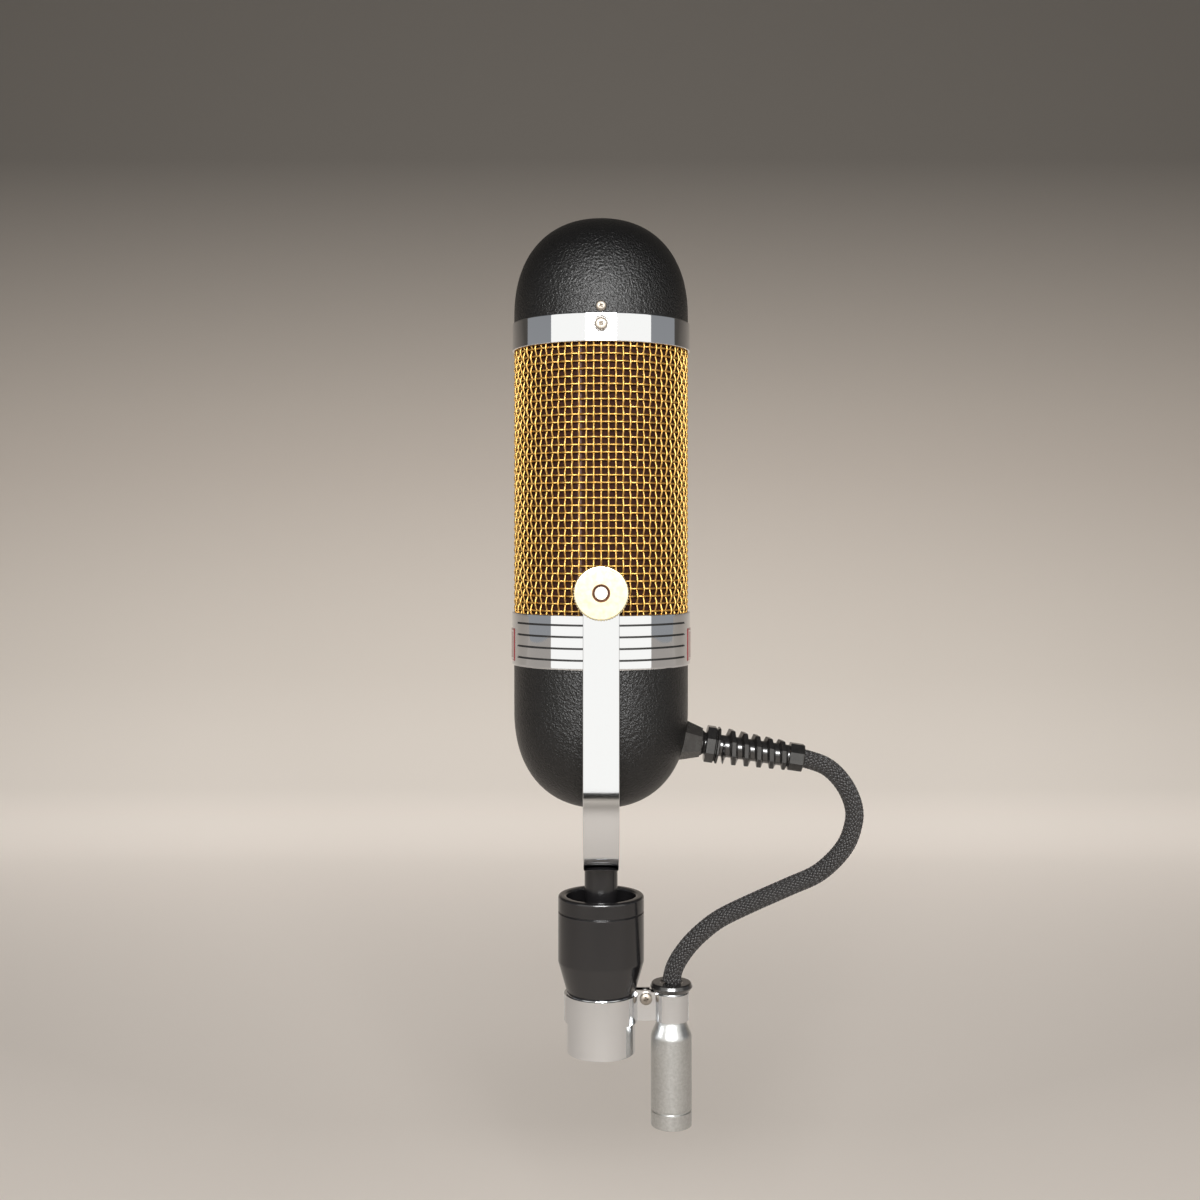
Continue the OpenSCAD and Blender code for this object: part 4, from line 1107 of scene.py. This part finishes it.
shell = spin("plug_barrel", soften([
    (4.4, 4.0, 0.2), (8.0, 4.0, 0.3), (8.0, low.z / MM, 0.3), (9.5, low.z / MM, 0.5), (9.5, -27, 0.1),
    (9.2, -26.7, 0.1), (9.2, -25.9, 0.1), (9.5, -25.6, 0.1), (9.5, 8.0, 1.2), (6.85, 14, 1.5),
    (6.85, plug_top, 0.3), (4.4, plug_top, 0.2)], 4), 96, ring=True)
shell.data.transform(plug_axis)
wear(shell, "yoke", "chrome", "plug_shell", satin_nickel)
insert_plastic = worked("black glass-filled plastic", "#211f1e", "#171616", 0.5, 0.0, 700, 0.04)
gold_plate = worked("gold-plated brass", "#e2bd62", "#cfa64a", 0.18, 1.0, 1000, 0.01)
dress(insert_plastic, "plug_insert")
dress(gold_plate, "plug_pins")

low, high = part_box("grommet")
foot, rim_top = plug_top, high.z / MM
grommet = spin("cap_grommet", [(0, (foot - 12) * MM)] + soften([
    (4.3, foot - 12, 0.4), (4.3, foot + 0.02, 0.3), (8.3, foot + 0.02, 0.3), (9.9, foot + 2.1, 0.4),
    (9.1, rim_top, 0.6), (5.2, rim_top, 0.5), (4.6, rim_top - 0.5, 0)], 5) + [
        (0, (rim_top - 0.5) * MM)], 96)
grommet.data.transform(plug_axis)
wear(grommet, "yoke", "black_rubber", "grommet", glossy_rubber)

dress(polished_chrome, "clip")
ease_edges(0.2, "clip")
clip_screw_at = ((hub_r + 4.9) * MM, -3.0 * MM, (hub_top - 2.6) * MM)
screw = pan_screw("clip_screw_new", 2.9 * MM, 2.0 * MM, 1.3 * MM, 8.0 * MM, clip_screw_at, 0.3)
wear(screw, "yoke", "screw_steel", "clip_screw", nickel_plate)


# ---- Floor, backdrop and light ----
# A pale floor curves up into a plain backdrop, with painted shade that darkens it upwards and a faint
# painted glow at the back and sides. The light is one broad, soft panel curved round the front, with dim
# grey light from everywhere else.

floor_z = -150 * MM
sweep_start, sweep_r = 1.1, 0.6
profile = [(-4.0, floor_z), (sweep_start, floor_z)]
for k in range(1, 25):
    a = pi / 2 * k / 24
    profile.append((sweep_start + sweep_r * sin(a), floor_z + sweep_r * (1 - cos(a))))
profile.append((sweep_start + sweep_r, 3.0))
sheet_mesh = bmesh.new()
edges = [[sheet_mesh.verts.new((x, y, z)) for y, z in profile] for x in (-5, 5)]
for k in range(len(profile) - 1):
    sheet_mesh.faces.new([edges[0][k], edges[1][k], edges[1][k + 1], edges[0][k + 1]])
sheet_data = mesh_data("backdrop", sheet_mesh)
sheet_data.shade_smooth()
backdrop = linked("backdrop", sheet_data)

# Backdrop paper: matt and pale, with painted shade that darkens it upwards, and a faint painted glow at
# the back and sides in place of the light of a large room.
paper, tree, surface = finish_of("pale backdrop paper", "#cfc5b9", 0.9)
where = add(tree, "ShaderNodeTexCoord")
rise = add(tree, "ShaderNodeSeparateXYZ", {0: where.outputs["Object"]})
# Painted shade: the paper's colour darkens upwards, standing in for the fall-off of the light.
height = add(tree, "ShaderNodeMapRange", {
    "Value": rise.outputs["Z"], "From Min": floor_z, "From Max": 1.1})
tint = add(tree, "ShaderNodeValToRGB", {"Fac": height.outputs[0]})
tint.color_ramp.elements[0].position = 0.0
tint.color_ramp.elements[0].color = linear("#dcd3ca")
tint.color_ramp.elements[1].position = 0.8
tint.color_ramp.elements[1].color = linear("#54504b")
for place, shade in ((0.04, "#c6beb5"), (0.15, "#b5ada4"), (0.4, "#978f87")):
    tint.color_ramp.elements.new(place).color = linear(shade)
tree.links.new(tint.outputs["Color"], surface.inputs["Base Color"])
tree.links.new(tint.outputs["Color"], surface.inputs["Emission Color"])
# Painted light: the paper glows by its own emission, strongest at the back and the sides and dimmer in
# front.
fade = add(tree, "ShaderNodeMapRange", {
    "Value": rise.outputs["Y"], "From Min": 0.3, "From Max": 1.25, "To Min": 0.0, "To Max": 0.56})
aside = add(tree, "ShaderNodeMapRange", {
    "Value": maths(tree, "ABSOLUTE", rise.outputs["X"]), "From Min": 0.2, "From Max": 1.6,
    "To Min": 0.0, "To Max": 0.5})
tree.links.new(maths(tree, "MAXIMUM", fade.outputs[0], aside.outputs[0]),
               surface.inputs["Emission Strength"])
sheet_data.materials.append(paper)
backdrop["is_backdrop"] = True

panel_r = 1.6
panel_half = 66
panel_foot = 0.15 - 0.19 * panel_r
panel_head = 0.15 + 0.8 * panel_r


def curved_screen(name, r, low, high, finish):
    """An upright strip of the stage, curved round the front of the object."""
    mesh = bmesh.new()
    strips = []
    for k in range(49):
        a = radians(-90 + panel_half * (k / 24 - 1))
        strips.append([mesh.verts.new((r * cos(a), r * sin(a), z)) for z in (low, high)])
    for one, two in zip(strips, strips[1:]):
        mesh.faces.new([one[0], two[0], two[1], one[1]])
    data = mesh_data(name, mesh)
    data.materials.append(finish)
    linked(name, data)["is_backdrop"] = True


glow = bpy.data.materials.new("soft white light")
glow.use_nodes = True
glow.node_tree.nodes.clear()
lamp = add(glow.node_tree, "ShaderNodeEmission", {"Color": linear("#fffdf8"), "Strength": 1.25})
add(glow.node_tree, "ShaderNodeOutputMaterial", {"Surface": lamp.outputs[0]})
curved_screen("light_panel", panel_r, panel_foot, panel_head, glow)

# The panel stands on a thin black rail.
curved_screen("panel_rail", panel_r - 0.01, panel_foot - 0.01, panel_foot + 0.016, groove_shade_and_rail_black)

# A brighter soft lamp high on the front of the panel gives black enamel its glow.
lamp_data = bpy.data.lights.new("front_lamp", "AREA")
lamp_data.shape = "RECTANGLE"
lamp_data.size, lamp_data.size_y = 1.0, 0.4
lamp_data.energy = 8
front_lamp = linked("front_lamp", lamp_data)
lamp_data.spread = radians(70)
front_lamp.location = (0, -1.42, 0.66)
front_lamp.rotation_euler = (radians(74), 0, 0)

world = bpy.data.worlds.new("dim room light")
bpy.context.scene.world = world
world.use_nodes = True
world.node_tree.nodes.clear()
sky_at = add(world.node_tree, "ShaderNodeTexCoord")
sky_rise = add(world.node_tree, "ShaderNodeSeparateXYZ", {0: sky_at.outputs["Generated"]})
dimming = add(world.node_tree, "ShaderNodeMapRange", {
    "Value": sky_rise.outputs["Z"], "From Min": 0.1, "From Max": 0.6, "To Min": 0.36, "To Max": 0.05})
sky = add(world.node_tree, "ShaderNodeBackground", {
    "Color": linear("#f7f9fc"), "Strength": dimming.outputs[0]})
add(world.node_tree, "ShaderNodeOutputWorld", {"Surface": sky.outputs[0]})
bpy.context.scene.view_settings.view_transform = "Standard"

low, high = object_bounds()
